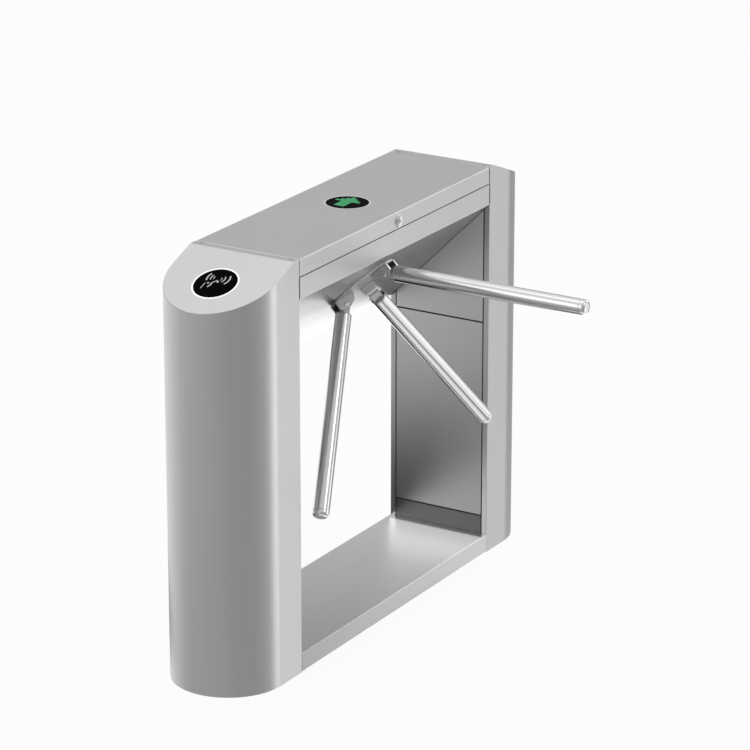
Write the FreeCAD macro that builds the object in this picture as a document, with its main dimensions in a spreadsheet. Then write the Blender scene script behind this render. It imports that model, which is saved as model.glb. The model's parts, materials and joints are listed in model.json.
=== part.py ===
"""Bridge tripod turnstile with visitor counting, as a parametric FreeCAD document.

Frame: X along the cabinet, -Y towards the passage, Z up, origin on the floor
at the middle of the footprint. Lengths in millimetres, angles in degrees.
"""
import FreeCAD, Part
import math
import os
import re
import Sketcher
from FreeCAD import Vector

doc = FreeCAD.newDocument("turnstile")

# ---------------------------------------------------------------------------
# Driving sizes: word, number, meaning
# ---------------------------------------------------------------------------
SIZES = (
    ("cab_width", 272, "cabinet, front to back"),
    ("cab_height", 980, "floor to lid top"),
    ("bridge_length", 850, "between the inner faces of the two columns"),
    ("column_straight", 89, "flat part of a column's side before its round end"),
    ("facet_tilt", 21.5, "slope of a column's top facet"),
    ("column_strip", 20, "level strip between lid and facet"),
    ("sheet_wall", 2, "thickness of the cabinet sheet"),
    ("fold_round", 1.6, "outer radius of a folded edge"),
    ("return_width", 14, "folded edge on a column's inner face"),
    ("ledge_width", 12, "seat behind the folded edge for the inner panels"),
    ("seam_gap", 1.6, "open seam between neighbouring sheets"),
    ("lid_drop", 40, "depth of the lid's skirt"),
    ("fascia_drop", 52, "fascia below the lid, down to the sloped face"),
    ("face_tilt", 45, "slope of the mechanism face under the head"),
    ("lip_width", 18, "rim folded inwards under the lid"),
    ("base_height", 46, "plinth between the columns"),
    ("strap_width", 60, "strap between the plinth's floor lips, halfway along"),
    ("kick_top", 93, "top of the kick plates"),
    ("door_top", 590, "top of the service doors"),
    ("panel_top_drop", 16, "upper panel's top below the cabinet top"),
    ("cable_bore", 50, "cable way from the head into a column"),
    ("foot_thick", 8, "foot plate thickness"),
    ("anchor_bore", 14, "hole for an M12 floor anchor"),
    ("anchor_inset", 45, "first anchor row from a column's inner face"),
    ("anchor_pitch", 110, "anchor rows along the cabinet"),
    ("anchor_spread", 170, "anchor rows across the cabinet"),
    ("reader_reach", 115, "reader centre down the facet from its top edge"),
    ("badge_window", 100, "diameter of a reader or indicator window"),
    ("badge_rim", 4, "light ring round a window"),
    ("badge_proud", 1, "light ring above its sheet"),
    ("badge_seat", 1.2, "back of a window behind its sheet's face"),
    ("badge_fit", 0.2, "clearance round a window"),
    ("reader_depth", 24, "reader housing behind the facet"),
    ("indicator_depth", 20, "indicator housing below the lid"),
    ("lock_rise", 17.5, "lock centre above the lid skirt's lower edge"),
    ("lock_bore", 19, "lock body diameter"),
    ("lock_rosette", 31, "lock face diameter"),
    ("rosette_thick", 2.5, "lock face in front of the skirt"),
    ("lock_reach", 20, "lock body behind the skirt"),
    ("lock_nut_wall", 3.5, "lock nut round the lock body"),
    ("lock_nut_thick", 5, "lock nut"),
    ("plug_proud", 3, "lock plug in front of the skirt"),
    ("key_width", 1.6, "key slot"),
    ("key_height", 8, "key slot"),
    ("key_depth", 2.5, "key slot"),
    ("cam_half", 5, "half the lock cam's width"),
    ("cam_length", 32, "lock cam from its centre"),
    ("cam_thick", 2.5, "lock cam thickness"),
    ("catch_side_gap", 6, "catch beside the lock body"),
    ("catch_skirt_gap", 2, "catch behind the lid's skirt"),
    ("catch_overhang", 4, "catch past the lock cam"),
    ("hinge_barrel", 6, "lid hinge barrel diameter"),
    ("hinge_pin", 3, "lid hinge pin diameter"),
    ("hinge_leaf", 1.5, "hinge leaf thickness"),
    ("hinge_length", 60, "length of one hinge"),
    ("hinge_place", 280, "hinges from the middle of the lid"),
    ("hinge_play", 0.3, "side play between the hinge knuckles"),
    ("hinge_stand", 0.2, "hinge barrel clear of the back wall"),
    ("hinge_head_leaf", 24, "height of the leaf on the head"),
    ("hinge_lid_leaf", 22, "height of the leaf on the lid"),
    ("hub_setback", 133.1, "hub centre down the sloped face from its front edge"),
    ("disc_radius", 92, "turning disc"),
    ("disc_thick", 5, "turning disc thickness"),
    ("disc_proud", 4, "disc front above the sloped face"),
    ("disc_gap", 2.5, "ring gap round the disc"),
    ("disc_edge", 1, "rounded edge of the disc"),
    ("apex_depth", 53.2, "meeting point of the arm axes behind the sloped face"),
    ("pin_reach", 105, "arm pin from that meeting point, along the arm"),
    ("pin_radius", 5, "arm pin"),
    ("pin_head", 6.5, "arm pin head radius"),
    ("pin_head_thick", 1.8, "arm pin head thickness"),
    ("ear_thick", 6, "clevis ear"),
    ("ear_gap", 26, "between the two ears of a clevis"),
    ("ear_outer", 20.7, "ear beyond the pin, away from the hub axis"),
    ("ear_inner", 32, "ear foot from the pin, towards the hub axis"),
    ("ear_above", 9.9, "ear above the pin"),
    ("ear_flat", 7.92, "flat top of an ear before its sloped side"),
    ("ear_web", 2.6, "clevis base between the ears"),
    ("ear_shoulder", 25, "shoulder of an ear from the pin, towards the hub axis"),
    ("shoulder_drop", 10, "shoulder of an ear below its top"),
    ("heel_gap", 1.4, "solid heel of a clevis to the arm that turns in it"),
    ("magnet_radius", 10, "holding magnet"),
    ("magnet_gap", 0.3, "magnet to arm knuckle"),
    ("knuckle_radius", 11, "arm root round its pin"),
    ("root_side_gap", 0.3, "arm root to each ear"),
    ("collar_start", 20, "arm collar from the pin"),
    ("collar_thick", 3, "arm collar"),
    ("tube_radius", 19, "arm tube"),
    ("tube_wall", 2, "arm tube wall"),
    ("tube_length", 477, "arm tube"),
    ("tube_seam", 0.4, "seam at each end of the tube"),
    ("spigot_fit", 0.1, "spigots inside the tube"),
    ("spigot_length", 36, "arm root spigot"),
    ("cap_length", 15, "arm end cap"),
    ("cap_round", 9, "rounding of the end cap"),
    ("cap_plug", 18, "end cap plug inside the tube"),
    ("run_fit", 0.05, "radial clearance of a turning fit"),
    ("plate_width", 240, "mechanism plate, along the cabinet"),
    ("plate_reach", 110, "mechanism plate, half its other side"),
    ("plate_thick", 8, "mechanism plate"),
    ("shaft_radius", 12.5, "main shaft"),
    ("shaft_flange", 28, "main shaft flange radius"),
    ("shaft_flange_thick", 5, "main shaft flange"),
    ("shaft_tail", 10, "shaft end radius"),
    ("flange_gap", 2, "shaft flange to the hole in the plate"),
    ("housing_radius", 34, "bearing housing"),
    ("housing_length", 60, "bearing housing"),
    ("housing_flange", 52, "bearing housing flange radius"),
    ("housing_flange_thick", 8, "bearing housing flange"),
    ("bearing_outer", 26, "ball bearing outer radius"),
    ("bearing_width", 15, "ball bearing width"),
    ("bearing_seat", 4, "shoulder behind each bearing"),
    ("carrier_thick", 4, "rear carrier plate"),
    ("carrier_reach", 74, "rear carrier plate, half its height"),
    ("standoff_radius", 6, "carrier standoffs"),
    ("standoff_inset", 20, "standoffs from the plate's ends"),
    ("standoff_edge", 12, "standoffs from the carrier's edges"),
    ("wheel_radius", 60, "lock wheel"),
    ("wheel_thick", 10, "lock wheel"),
    ("wheel_gap", 4, "carrier to lock wheel"),
    ("notch_count", 12, "notches in the lock wheel"),
    ("notch_width", 17, "notch width"),
    ("notch_depth", 10, "notch depth"),
    ("wheel_boss", 20, "lock wheel boss radius"),
    ("pawl_thick", 8, "pawl"),
    ("pawl_swing", 11.5, "pawl travel"),
    ("pawl_side", 84, "pawl pivot from the shaft, along the cabinet"),
    ("pawl_drop", 50, "pawl pivot below the shaft"),
    ("pawl_pivot", 4, "pawl pivot radius"),
    ("pawl_boss", 11, "pawl boss radius"),
    ("pawl_half", 8, "half width of a pawl"),
    ("nose_half", 4, "half width of a pawl's nose"),
    ("nose_clear", 3, "engaged nose above the notch floor"),
    ("link_reach", 75, "plunger pin from the pawl pivot"),
    ("link_radius", 2.5, "plunger pin"),
    ("link_gap", 0.5, "plunger pin in its fork"),
    ("fork_end", 8, "pawl fork beyond the plunger pin"),
    ("fork_floor", 7, "pawl fork before the plunger pin"),
    ("nose_flare", 3, "pawl nose wider at its root"),
    ("rod_end", 1.5, "plunger rod past the plunger pin"),
    ("plunger_radius", 4, "solenoid plunger"),
    ("plunger_length", 56, "solenoid plunger"),
    ("solenoid_length", 50, "solenoid body"),
    ("solenoid_size", 34, "solenoid body width and height"),
    ("solenoid_start", 34, "solenoid body from the pawl pivot"),
    ("vane_radius", 62, "sensor disc"),
    ("vane_thick", 1.5, "sensor disc"),
    ("vane_slots", 6, "slots in the sensor disc"),
    ("slot_out", 4, "sensor disc slot from the rim"),
    ("slot_in", 12, "sensor disc slot, inner end from the rim"),
    ("slot_width", 6, "sensor disc slot"),
    ("sensor_gap", 1.5, "sensor fork each side of the disc"),
    ("sensor_width", 12, "sensor fork"),
    ("sensor_jaw", 4, "sensor fork jaw thickness"),
    ("sensor_post", 8, "sensor fork post"),
    ("sensor_post_gap", 2, "sensor fork post to the disc's rim"),
    ("board_inset", 145, "middle of the board and of the supply from the bridge's end"),
    ("board_length", 160, "control board length"),
    ("board_height", 120, "control board height"),
    ("board_drop", 200, "middle of the board and of the supply below the lid's top"),
    ("board_thick", 1.6, "control board"),
    ("board_post", 8, "control board stand-off from the back wall"),
    ("post_radius", 3, "control board stand-offs"),
    ("post_inset", 8, "stand-offs from the board's edges"),
    ("chip_side", 30, "counter module on the board"),
    ("chip_thick", 4, "counter module on the board"),
    ("terminal_side", 12, "terminal strip, height and depth"),
    ("terminal_inset", 20, "terminal strip from the board's ends"),
    ("terminal_rise", 4, "terminal strip above the board's lower edge"),
    ("supply_length", 160, "power supply length"),
    ("supply_height", 98, "power supply height"),
    ("supply_depth", 40, "power supply depth"),
)

sizes = doc.addObject("Spreadsheet::Sheet", "sizes")
for row, (word, number, meaning) in enumerate(SIZES, start=1):
    sizes.set("A%d" % row, meaning)
    sizes.set("B%d" % row, str(number))
    sizes.setAlias("B%d" % row, word)
doc.recompute()

WORDS = re.compile(r"\b(%s)\b" % "|".join(word for word, number, meaning in SIZES))
NODES = []
TOUCH = 0.01                 # edges and faces are matched within this
BEYOND = "50"                # cutters reach this far past what they cut


def bound(text):
    """An expression of the sheet's words, as FreeCAD reads it."""
    return WORDS.sub(r"sizes.\1", str(text))


def number_of(text):
    """The value of such an expression now."""
    return float(sizes.evalExpression(bound(text)))


def bind(thing, **properties):
    """Tie properties of an object to expressions."""
    for name, text in properties.items():
        thing.setExpression(name, bound(text))
    return thing


def node(thing, label):
    """Count a finished object as a sub-part under its own label."""
    thing.Label = label
    NODES.append(thing)
    return thing


def place(shift=("0", "0", "0"), axis="0; 0; 1", turn="0"):
    return "placement(vector(%s); rotation(vector(%s); %s))" % ("; ".join(shift), axis, turn)


# ---------------------------------------------------------------------------
# Sketch and feature helpers
# ---------------------------------------------------------------------------
def body_at(name, placement=None):
    body = doc.addObject("PartDesign::Body", name)
    if placement:
        bind(body, Placement=placement)
    return body


def sketch(body, name, role, offset="0"):
    made = body.newObject("Sketcher::SketchObject", name)
    planes = [item for item in body.Origin.OriginFeatures if item.Role == role]
    made.AttachmentSupport = (planes[0], [""])
    made.MapMode = "FlatFace"
    made.setExpression("AttachmentOffset.Base.z", bound(offset))
    return made


def hold(made, geometry, point, across, up=None):
    """Dimension one point of a sketch from the sketch's origin."""
    for kind, text in (("DistanceX", across), ("DistanceY", up)):
        if text is None:
            continue
        rule = Sketcher.Constraint(kind, -1, 1, geometry, point, number_of(text))
        index = made.addConstraint(rule)
        made.setExpression("Constraints[%d]" % index, bound(text))


def polygon(made, corners):
    """A closed outline whose corners are expressions."""
    points = [Vector(number_of(across), number_of(up), 0) for across, up in corners]
    first = made.GeometryCount
    count = len(points)
    for index in range(count):
        line = Part.LineSegment(points[index], points[(index + 1) % count])
        made.addGeometry(line, False)
    for index in range(count):
        after = first + (index + 1) % count
        made.addConstraint(Sketcher.Constraint("Coincident", first + index, 2, after, 1))
    for index, (across, up) in enumerate(corners):
        hold(made, first + index, 1, across, up)


def rectangle(made, left, right, low, high):
    polygon(made, ((left, low), (right, low), (right, high), (left, high)))


def circle(made, across, up, radius):
    middle = Vector(number_of(across), number_of(up), 0)
    round_edge = Part.Circle(middle, Vector(0, 0, 1), number_of(radius))
    index = made.addGeometry(round_edge, False)
    hold(made, index, 3, across, up)
    rule = made.addConstraint(Sketcher.Constraint("Radius", index, number_of(radius)))
    made.setExpression("Constraints[%d]" % rule, bound(radius))


def column_plan(made, inset, start):
    """A column's plan: two straight sides closed by a half round, all inset."""
    half = "(cab_width / 2 - (%s))" % inset
    near = "(%s)" % start
    middle = "(bridge_length / 2 + column_straight)"
    radius = number_of(half)
    centre = number_of(middle)
    low = Vector(number_of(near), -radius, 0)
    high = Vector(number_of(near), radius, 0)
    made.addGeometry(Part.LineSegment(low, Vector(centre, -radius, 0)), False)
    arc = Part.ArcOfCircle(Part.Circle(Vector(centre, 0, 0), Vector(0, 0, 1), radius),
                           -math.pi / 2, math.pi / 2)
    made.addGeometry(arc, False)
    made.addGeometry(Part.LineSegment(Vector(centre, radius, 0), high), False)
    made.addGeometry(Part.LineSegment(high, low), False)
    for index in range(4):
        after = (index + 1) % 4
        made.addConstraint(Sketcher.Constraint("Coincident", index, 2, after, 1))
    hold(made, 0, 1, near, "-" + half)
    hold(made, 0, 2, middle, "-" + half)
    hold(made, 2, 1, middle, half)
    hold(made, 2, 2, near, half)
    hold(made, 1, 3, middle)


def pad(body, profile, length, both=False, backwards=False):
    made = body.newObject("PartDesign::Pad", profile.Name + "_pad")
    made.Profile = profile
    made.SideType = "Symmetric" if both else "One side"
    made.Reversed = backwards
    made.setExpression("Length", bound(length))
    doc.recompute()
    return made


def pocket(body, profile, length=None, both=True, backwards=False):
    """Cut a profile out, and make sure that material went."""
    before = body.Shape.Volume
    made = body.newObject("PartDesign::Pocket", profile.Name + "_cut")
    made.Profile = profile
    made.SideType = "Symmetric" if both else "One side"
    made.Reversed = backwards
    if length is None:
        made.Type = "ThroughAll"
    else:
        made.setExpression("Length", bound(length))
    doc.recompute()
    if body.Shape.Volume >= before:
        raise RuntimeError("%s cuts nothing" % made.Name)
    return made


def revolve(body, profile, axis):
    made = body.newObject("PartDesign::Revolution", profile.Name + "_turned")
    made.Profile = profile
    made.ReferenceAxis = (profile, [axis])
    made.Angle = 360
    doc.recompute()
    return made


def edges_where(shape, test):
    return ["Edge%d" % count for count, edge in enumerate(shape.Edges, start=1) if test(edge)]


def fillet(body, base, names, radius):
    made = body.newObject("PartDesign::Fillet", base.Name + "_round")
    made.Base = (base, names)
    made.setExpression("Radius", bound(radius))
    doc.recompute()
    return made


def polar(body, feature, count):
    made = body.newObject("PartDesign::PolarPattern", feature.Name + "_around")
    made.Originals = [feature]
    axes = [item for item in body.Origin.OriginFeatures if item.Role == "Z_Axis"]
    made.Axis = (axes[0], [""])
    made.Angle = 360
    made.setExpression("Occurrences", bound(count))
    body.Tip = made
    doc.recompute()
    return made


def cylinder(name, radius, height, placement):
    made = doc.addObject("Part::Cylinder", name)
    return bind(made, Radius=radius, Height=height, Placement=placement)


def block(name, length, width, height, placement):
    made = doc.addObject("Part::Box", name)
    return bind(made, Length=length, Width=width, Height=height, Placement=placement)


def cut(name, base, tools):
    tool = tools[0]
    if len(tools) > 1:
        tool = doc.addObject("Part::MultiFuse", name + "_tools")
        tool.Shapes = tools
    made = doc.addObject("Part::Cut", name)
    made.Base = base
    made.Tool = tool
    return made


def fuse(name, pieces):
    made = doc.addObject("Part::MultiFuse", name)
    made.Shapes = pieces
    return made


def together(name, pieces):
    made = doc.addObject("Part::Compound", name)
    made.Links = pieces
    return made


# ---------------------------------------------------------------------------
# Places shared by several pieces
# ---------------------------------------------------------------------------
SIDES = (("left", "180"), ("right", "0"))
INNER_X = "bridge_length / 2"
LIP_TOP = "(cab_height - lid_drop - seam_gap)"
FACE_TOP = "(cab_height - lid_drop - fascia_drop)"
BACK_LOW = "(%s - cab_width * tan(face_tilt))" % FACE_TOP
PANEL_HALF = "(cab_width / 2 - return_width - seam_gap)"

HUB_Y = "(hub_setback * cos(face_tilt) - cab_width / 2)"
HUB_Z = "(%s - hub_setback * sin(face_tilt))" % FACE_TOP
HUB = place(("0", HUB_Y, HUB_Z), "1; 0; 0", "180 - face_tilt")
ARMS = (("a", "0"), ("b", "-120"), ("c", "120"))
ARM_LEAN = "(90 - face_tilt)"
PIN_V = "(pin_reach * sin(%s))" % ARM_LEAN
PIN_W = "(pin_reach * cos(%s) - apex_depth)" % ARM_LEAN

PLATE_BACK = "(-sheet_wall - plate_thick)"
CARRIER_FRONT = "(%s - housing_length)" % PLATE_BACK
CARRIER_BACK = "(%s - carrier_thick)" % CARRIER_FRONT
WHEEL_FRONT = "(%s - wheel_gap)" % CARRIER_BACK
WHEEL_BACK = "(%s - wheel_thick)" % WHEEL_FRONT

# ---------------------------------------------------------------------------
# Columns: folded sheet, open below and towards the bridge, with a sloped top
# facet that carries the round badge reader
# ---------------------------------------------------------------------------
for side, half_turn in SIDES:
    spin = place(turn=half_turn)
    shell = body_at("column_%s_shell" % side, spin)
    plan = sketch(shell, "column_%s_plan" % side, "XY_Plane")
    column_plan(plan, "0", INNER_X)
    pad(shell, plan, "cab_height")

    facet = sketch(shell, "column_%s_facet" % side, "XZ_Plane")
    strip_end = "(%s + column_strip)" % INNER_X
    beyond = "(column_straight + cab_width)"
    polygon(facet, ((strip_end, "cab_height"),
                    ("%s + %s" % (strip_end, beyond),
                     "cab_height - %s * tan(facet_tilt)" % beyond),
                    ("%s + %s" % (strip_end, beyond), "cab_height + " + BEYOND),
                    (strip_end, "cab_height + " + BEYOND)))
    sloped = pocket(shell, facet)

    inner = number_of(INNER_X)
    open_faces = []
    for count, face in enumerate(sloped.Shape.Faces, start=1):
        middle = face.CenterOfMass
        if abs(middle.z) < TOUCH or abs(middle.x - inner) < TOUCH:
            open_faces.append("Face%d" % count)
    folded = shell.newObject("PartDesign::Thickness", "column_%s_sheet" % side)
    folded.Base = (sloped, open_faces)
    folded.Reversed = True
    folded.setExpression("Value", bound("sheet_wall"))
    doc.recompute()

    returns = sketch(shell, "column_%s_returns" % side, "XY_Plane")
    for sign in ("", "-"):
        outer = "%s(cab_width / 2 - sheet_wall / 2)" % sign
        edge = "%s(cab_width / 2 - return_width)" % sign
        nook = "%s(cab_width / 2 - return_width + sheet_wall)" % sign
        seat = "%s(cab_width / 2 - return_width - ledge_width)" % sign
        polygon(returns, ((INNER_X, outer),
                          (INNER_X, edge),
                          (INNER_X + " + sheet_wall", edge),
                          (INNER_X + " + sheet_wall", seat),
                          (INNER_X + " + sheet_wall * 2", seat),
                          (INNER_X + " + sheet_wall * 2", nook),
                          (INNER_X + " + sheet_wall", nook),
                          (INNER_X + " + sheet_wall", outer)))
    pad(shell, returns, "cab_height - sheet_wall / 2")

    header = sketch(shell, "column_%s_header" % side, "YZ_Plane", INNER_X)
    rectangle(header, "-(cab_width / 2 - sheet_wall / 2)", "cab_width / 2 - sheet_wall / 2",
              "cab_height - panel_top_drop + seam_gap", "cab_height - sheet_wall / 2")
    pad(shell, header, "sheet_wall")

    facet_x = "(%s + reader_reach * cos(facet_tilt))" % strip_end
    facet_z = "(cab_height - reader_reach * sin(facet_tilt))"
    on_facet = spin + " * " + place((facet_x, "0", facet_z), "0; 1; 0", "facet_tilt")
    hole = cylinder("column_%s_hole" % side, "badge_window / 2 + badge_fit", BEYOND,
                    on_facet + " * " + place(("0", "0", "-%s / 2" % BEYOND)))
    node(cut("column_%s" % side, shell, [hole]), "column_%s" % side)

    # badge reader: light ring on the sheet, window in it, housing behind it
    ring = cylinder("reader_%s_disc" % side, "badge_window / 2 + badge_rim", "badge_proud",
                    on_facet)
    eye = cylinder("reader_%s_eye" % side, "badge_window / 2 + badge_fit", "badge_proud",
                   on_facet)
    node(cut("reader_ring_%s" % side, ring, [eye]), "reader_ring_%s" % side)
    window = cylinder("reader_window_%s" % side, "badge_window / 2", "badge_proud * 2",
                      on_facet + " * " + place(("0", "0", "-badge_seat")))
    node(window, "reader_window_%s" % side)
    cup = cylinder("reader_housing_%s" % side, "badge_window / 2", "reader_depth",
                   on_facet + " * " + place(("0", "0", "-badge_seat - reader_depth")))
    node(cup, "reader_housing_%s" % side)

    # panels on the inner face, seated on the ledges behind the folded edges
    rows = (("kick_plate", "sheet_wall", "kick_top - seam_gap"),
            ("door", "kick_top + seam_gap", "door_top - seam_gap"),
            ("upper_panel", "door_top + seam_gap", "cab_height - panel_top_drop"))
    for kind, low, high in rows:
        panel = body_at("%s_%s" % (kind, side), spin)
        flat = sketch(panel, "%s_%s_flat" % (kind, side), "YZ_Plane", INNER_X)
        rectangle(flat, "-" + PANEL_HALF, PANEL_HALF, low, high)
        pad(panel, flat, "sheet_wall")
        if kind == "upper_panel":
            way = sketch(panel, "%s_%s_way" % (kind, side), "YZ_Plane", INNER_X)
            circle(way, "cab_width / 4", "cab_height - lid_drop - cable_bore", "cable_bore / 2")
            pocket(panel, way)
        node(panel, "%s_%s" % (kind, side))

    # foot plate inside the column, with four anchor holes
    foot = body_at("foot_plate_%s" % side, spin)
    foot_plan = sketch(foot, "foot_plate_%s_plan" % side, "XY_Plane")
    column_plan(foot_plan, "sheet_wall + badge_fit", INNER_X + " + sheet_wall * 2 + badge_fit")
    pad(foot, foot_plan, "foot_thick")
    holes = sketch(foot, "foot_plate_%s_holes" % side, "XY_Plane")
    for along in ("anchor_inset", "anchor_inset + anchor_pitch"):
        for sign in ("-", ""):
            circle(holes, "%s + %s" % (INNER_X, along), "%sanchor_spread / 2" % sign,
                   "anchor_bore / 2")
    pocket(foot, holes)
    node(foot, "foot_plate_%s" % side)

# ---------------------------------------------------------------------------
# Plinth between the columns, a channel folded down at both sides and in along
# the floor, with a strap across that holds its lips apart
# ---------------------------------------------------------------------------
plinth = body_at("base_plinth")
channel = sketch(plinth, "base_plinth_section", "YZ_Plane")
polygon(channel, (("-cab_width / 2", "0"),
                  ("-cab_width / 2", "base_height"),
                  ("cab_width / 2", "base_height"),
                  ("cab_width / 2", "0"),
                  ("cab_width / 2 - lip_width", "0"),
                  ("cab_width / 2 - lip_width", "sheet_wall"),
                  ("cab_width / 2 - sheet_wall", "sheet_wall"),
                  ("cab_width / 2 - sheet_wall", "base_height - sheet_wall"),
                  ("-cab_width / 2 + sheet_wall", "base_height - sheet_wall"),
                  ("-cab_width / 2 + sheet_wall", "sheet_wall"),
                  ("-cab_width / 2 + lip_width", "sheet_wall"),
                  ("-cab_width / 2 + lip_width", "0")))
channel_pad = pad(plinth, channel, "bridge_length - seam_gap", both=True)
half_width = number_of("cab_width / 2")
top_level = number_of("base_height")
outer_folds = edges_where(
    channel_pad.Shape,
    lambda edge: abs(edge.BoundBox.YLength) < TOUCH and abs(edge.BoundBox.ZLength) < TOUCH
    and abs(abs(edge.CenterOfMass.y) - half_width) < TOUCH
    and abs(edge.CenterOfMass.z - top_level) < TOUCH)
fillet(plinth, channel_pad, outer_folds, "fold_round")
strap = sketch(plinth, "base_plinth_strap", "XY_Plane")
rectangle(strap, "-strap_width / 2", "strap_width / 2",
          "-(cab_width / 2 - lip_width / 2)", "cab_width / 2 - lip_width / 2")
pad(plinth, strap, "sheet_wall")
node(plinth, "base_plinth")

# ---------------------------------------------------------------------------
# Head shell: fascia, sloped mechanism face and back wall folded from one
# sheet, with a rim folded inwards under the lid
# ---------------------------------------------------------------------------
head = body_at("head_shell_fold")
section = sketch(head, "head_shell_section", "YZ_Plane")
slope_rise = "sheet_wall * (1 / cos(face_tilt) - tan(face_tilt))"
polygon(section, (("-cab_width / 2", FACE_TOP),
                  ("cab_width / 2", BACK_LOW),
                  ("cab_width / 2", LIP_TOP),
                  ("cab_width / 2 - lip_width", LIP_TOP),
                  ("cab_width / 2 - lip_width", LIP_TOP + " - sheet_wall"),
                  ("cab_width / 2 - sheet_wall", LIP_TOP + " - sheet_wall"),
                  ("cab_width / 2 - sheet_wall",
                   "%s + sheet_wall * (1 / cos(face_tilt) + tan(face_tilt))" % BACK_LOW),
                  ("-cab_width / 2 + sheet_wall", "%s + %s" % (FACE_TOP, slope_rise)),
                  ("-cab_width / 2 + sheet_wall", LIP_TOP + " - sheet_wall"),
                  ("-cab_width / 2 + lip_width", LIP_TOP + " - sheet_wall"),
                  ("-cab_width / 2 + lip_width", LIP_TOP),
                  ("-cab_width / 2", LIP_TOP)))
pad(head, section, "bridge_length - seam_gap", both=True)
face_hole = cylinder("head_shell_hole", "disc_radius + disc_gap", "sheet_wall * 4",
                     HUB + " * " + place(("0", "0", "-sheet_wall * 3")))
node(cut("head_shell", head, [face_hole]), "head_shell")

# catch on the rim that the lock cam turns under
catch = body_at("lid_catch", place(("lock_bore / 2 + catch_side_gap", "0", "0")))
catch_side = sketch(catch, "lid_catch_side", "YZ_Plane")
CATCH_Y = "(-cab_width / 2 + sheet_wall * 2 + catch_skirt_gap)"
CAM_Y = "(-cab_width / 2 + lock_reach)"
LOCK_Z = "(cab_height - lid_drop + lock_rise)"
FINGER = "(%s + cam_length / 3)" % LOCK_Z
CATCH_END = "(%s + cam_thick + catch_overhang)" % CAM_Y
CATCH_FOOT = "(lip_width - cab_width / 2 - sheet_wall / 2)"
polygon(catch_side, ((CATCH_Y, LIP_TOP),
                     (CATCH_FOOT, LIP_TOP),
                     (CATCH_FOOT, LIP_TOP + " + sheet_wall"),
                     (CATCH_Y + " + sheet_wall", LIP_TOP + " + sheet_wall"),
                     (CATCH_Y + " + sheet_wall", FINGER),
                     (CATCH_END, FINGER),
                     (CATCH_END, FINGER + " + sheet_wall"),
                     (CATCH_Y, FINGER + " + sheet_wall")))
pad(catch, catch_side, "cam_length / 2")
node(catch, "lid_catch")

# ---------------------------------------------------------------------------
# Lid: shallow tray, hinged along the back, with the status indicator on top
# ---------------------------------------------------------------------------
lid = body_at("lid_tray")
outline = sketch(lid, "lid_outline", "XY_Plane", "cab_height - lid_drop")
LID_HALF = "(bridge_length / 2 - seam_gap)"
rectangle(outline, "-" + LID_HALF, LID_HALF, "-cab_width / 2", "cab_width / 2")
lid_pad = pad(lid, outline, "lid_drop")
hollow = sketch(lid, "lid_hollow", "XY_Plane", "cab_height - lid_drop")
rectangle(hollow, "-%s + sheet_wall" % LID_HALF, LID_HALF + " - sheet_wall",
          "-cab_width / 2 + sheet_wall", "cab_width / 2 - sheet_wall")
lid_hollow = pocket(lid, hollow, "lid_drop - sheet_wall", both=False, backwards=True)
roof = number_of("cab_height")
long_folds = edges_where(
    lid_hollow.Shape,
    lambda edge: abs(edge.BoundBox.ZLength) < TOUCH and abs(edge.BoundBox.YLength) < TOUCH
    and abs(edge.CenterOfMass.z - roof) < TOUCH)
fillet(lid, lid_hollow, long_folds, "fold_round")
eye_hole = cylinder("lid_eye_hole", "badge_window / 2 + badge_fit", "sheet_wall * 4",
                    place(("0", "0", "cab_height - sheet_wall * 3")))
LOCK = place(("0", "-cab_width / 2", LOCK_Z), "1; 0; 0", "-90")
lock_hole = cylinder("lid_lock_hole", "lock_bore / 2 + run_fit", "sheet_wall * 4",
                     LOCK + " * " + place(("0", "0", "-sheet_wall * 2")))
node(cut("lid", lid, [eye_hole, lock_hole]), "lid")

on_lid = place(("0", "0", "cab_height"))
ring = cylinder("indicator_disc", "badge_window / 2 + badge_rim", "badge_proud", on_lid)
eye = cylinder("indicator_eye", "badge_window / 2 + badge_fit", "badge_proud", on_lid)
node(cut("indicator_ring", ring, [eye]), "indicator_ring")
node(cylinder("indicator_window", "badge_window / 2", "badge_proud * 2",
              on_lid + " * " + place(("0", "0", "-badge_seat"))), "indicator_window")
node(cylinder("indicator_housing", "badge_window / 2", "indicator_depth",
              on_lid + " * " + place(("0", "0", "-badge_seat - indicator_depth"))),
     "indicator_housing")

# cam lock: body in the skirt, plug with key slot and cam turning in it
rosette = cylinder("lock_rosette", "lock_rosette / 2", "rosette_thick",
                   LOCK + " * " + place(("0", "0", "-rosette_thick")))
barrel = cylinder("lock_barrel", "lock_bore / 2", "lock_reach - run_fit", LOCK)
nut = cylinder("lock_nut", "lock_bore / 2 + lock_nut_wall", "lock_nut_thick",
               LOCK + " * " + place(("0", "0", "sheet_wall")))
plug_bore = cylinder("lock_plug_bore", "lock_bore / 3 + run_fit",
                     "lock_reach + rosette_thick * 4",
                     LOCK + " * " + place(("0", "0", "-rosette_thick * 2")))
lock_whole = fuse("lock_whole", [rosette, barrel, nut])
node(cut("lock_body", lock_whole, [plug_bore]), "lock_body")
plug = cylinder("lock_core", "lock_bore / 3", "lock_reach + plug_proud",
                LOCK + " * " + place(("0", "0", "-plug_proud")))
cam = block("lock_cam", "cam_half * 2", "cam_length + cam_half", "cam_thick",
            LOCK + " * " + place(("-cam_half", "-cam_half", "lock_reach")))
slot = block("lock_slot", "key_width", "key_height", "key_depth * 2",
             LOCK + " * " + place(("-key_width / 2", "-key_height / 2",
                                   "-plug_proud - key_depth")))
lock_moving = fuse("lock_moving", [plug, cam])
node(cut("lock_plug", lock_moving, [slot]), "lock_plug")

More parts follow.
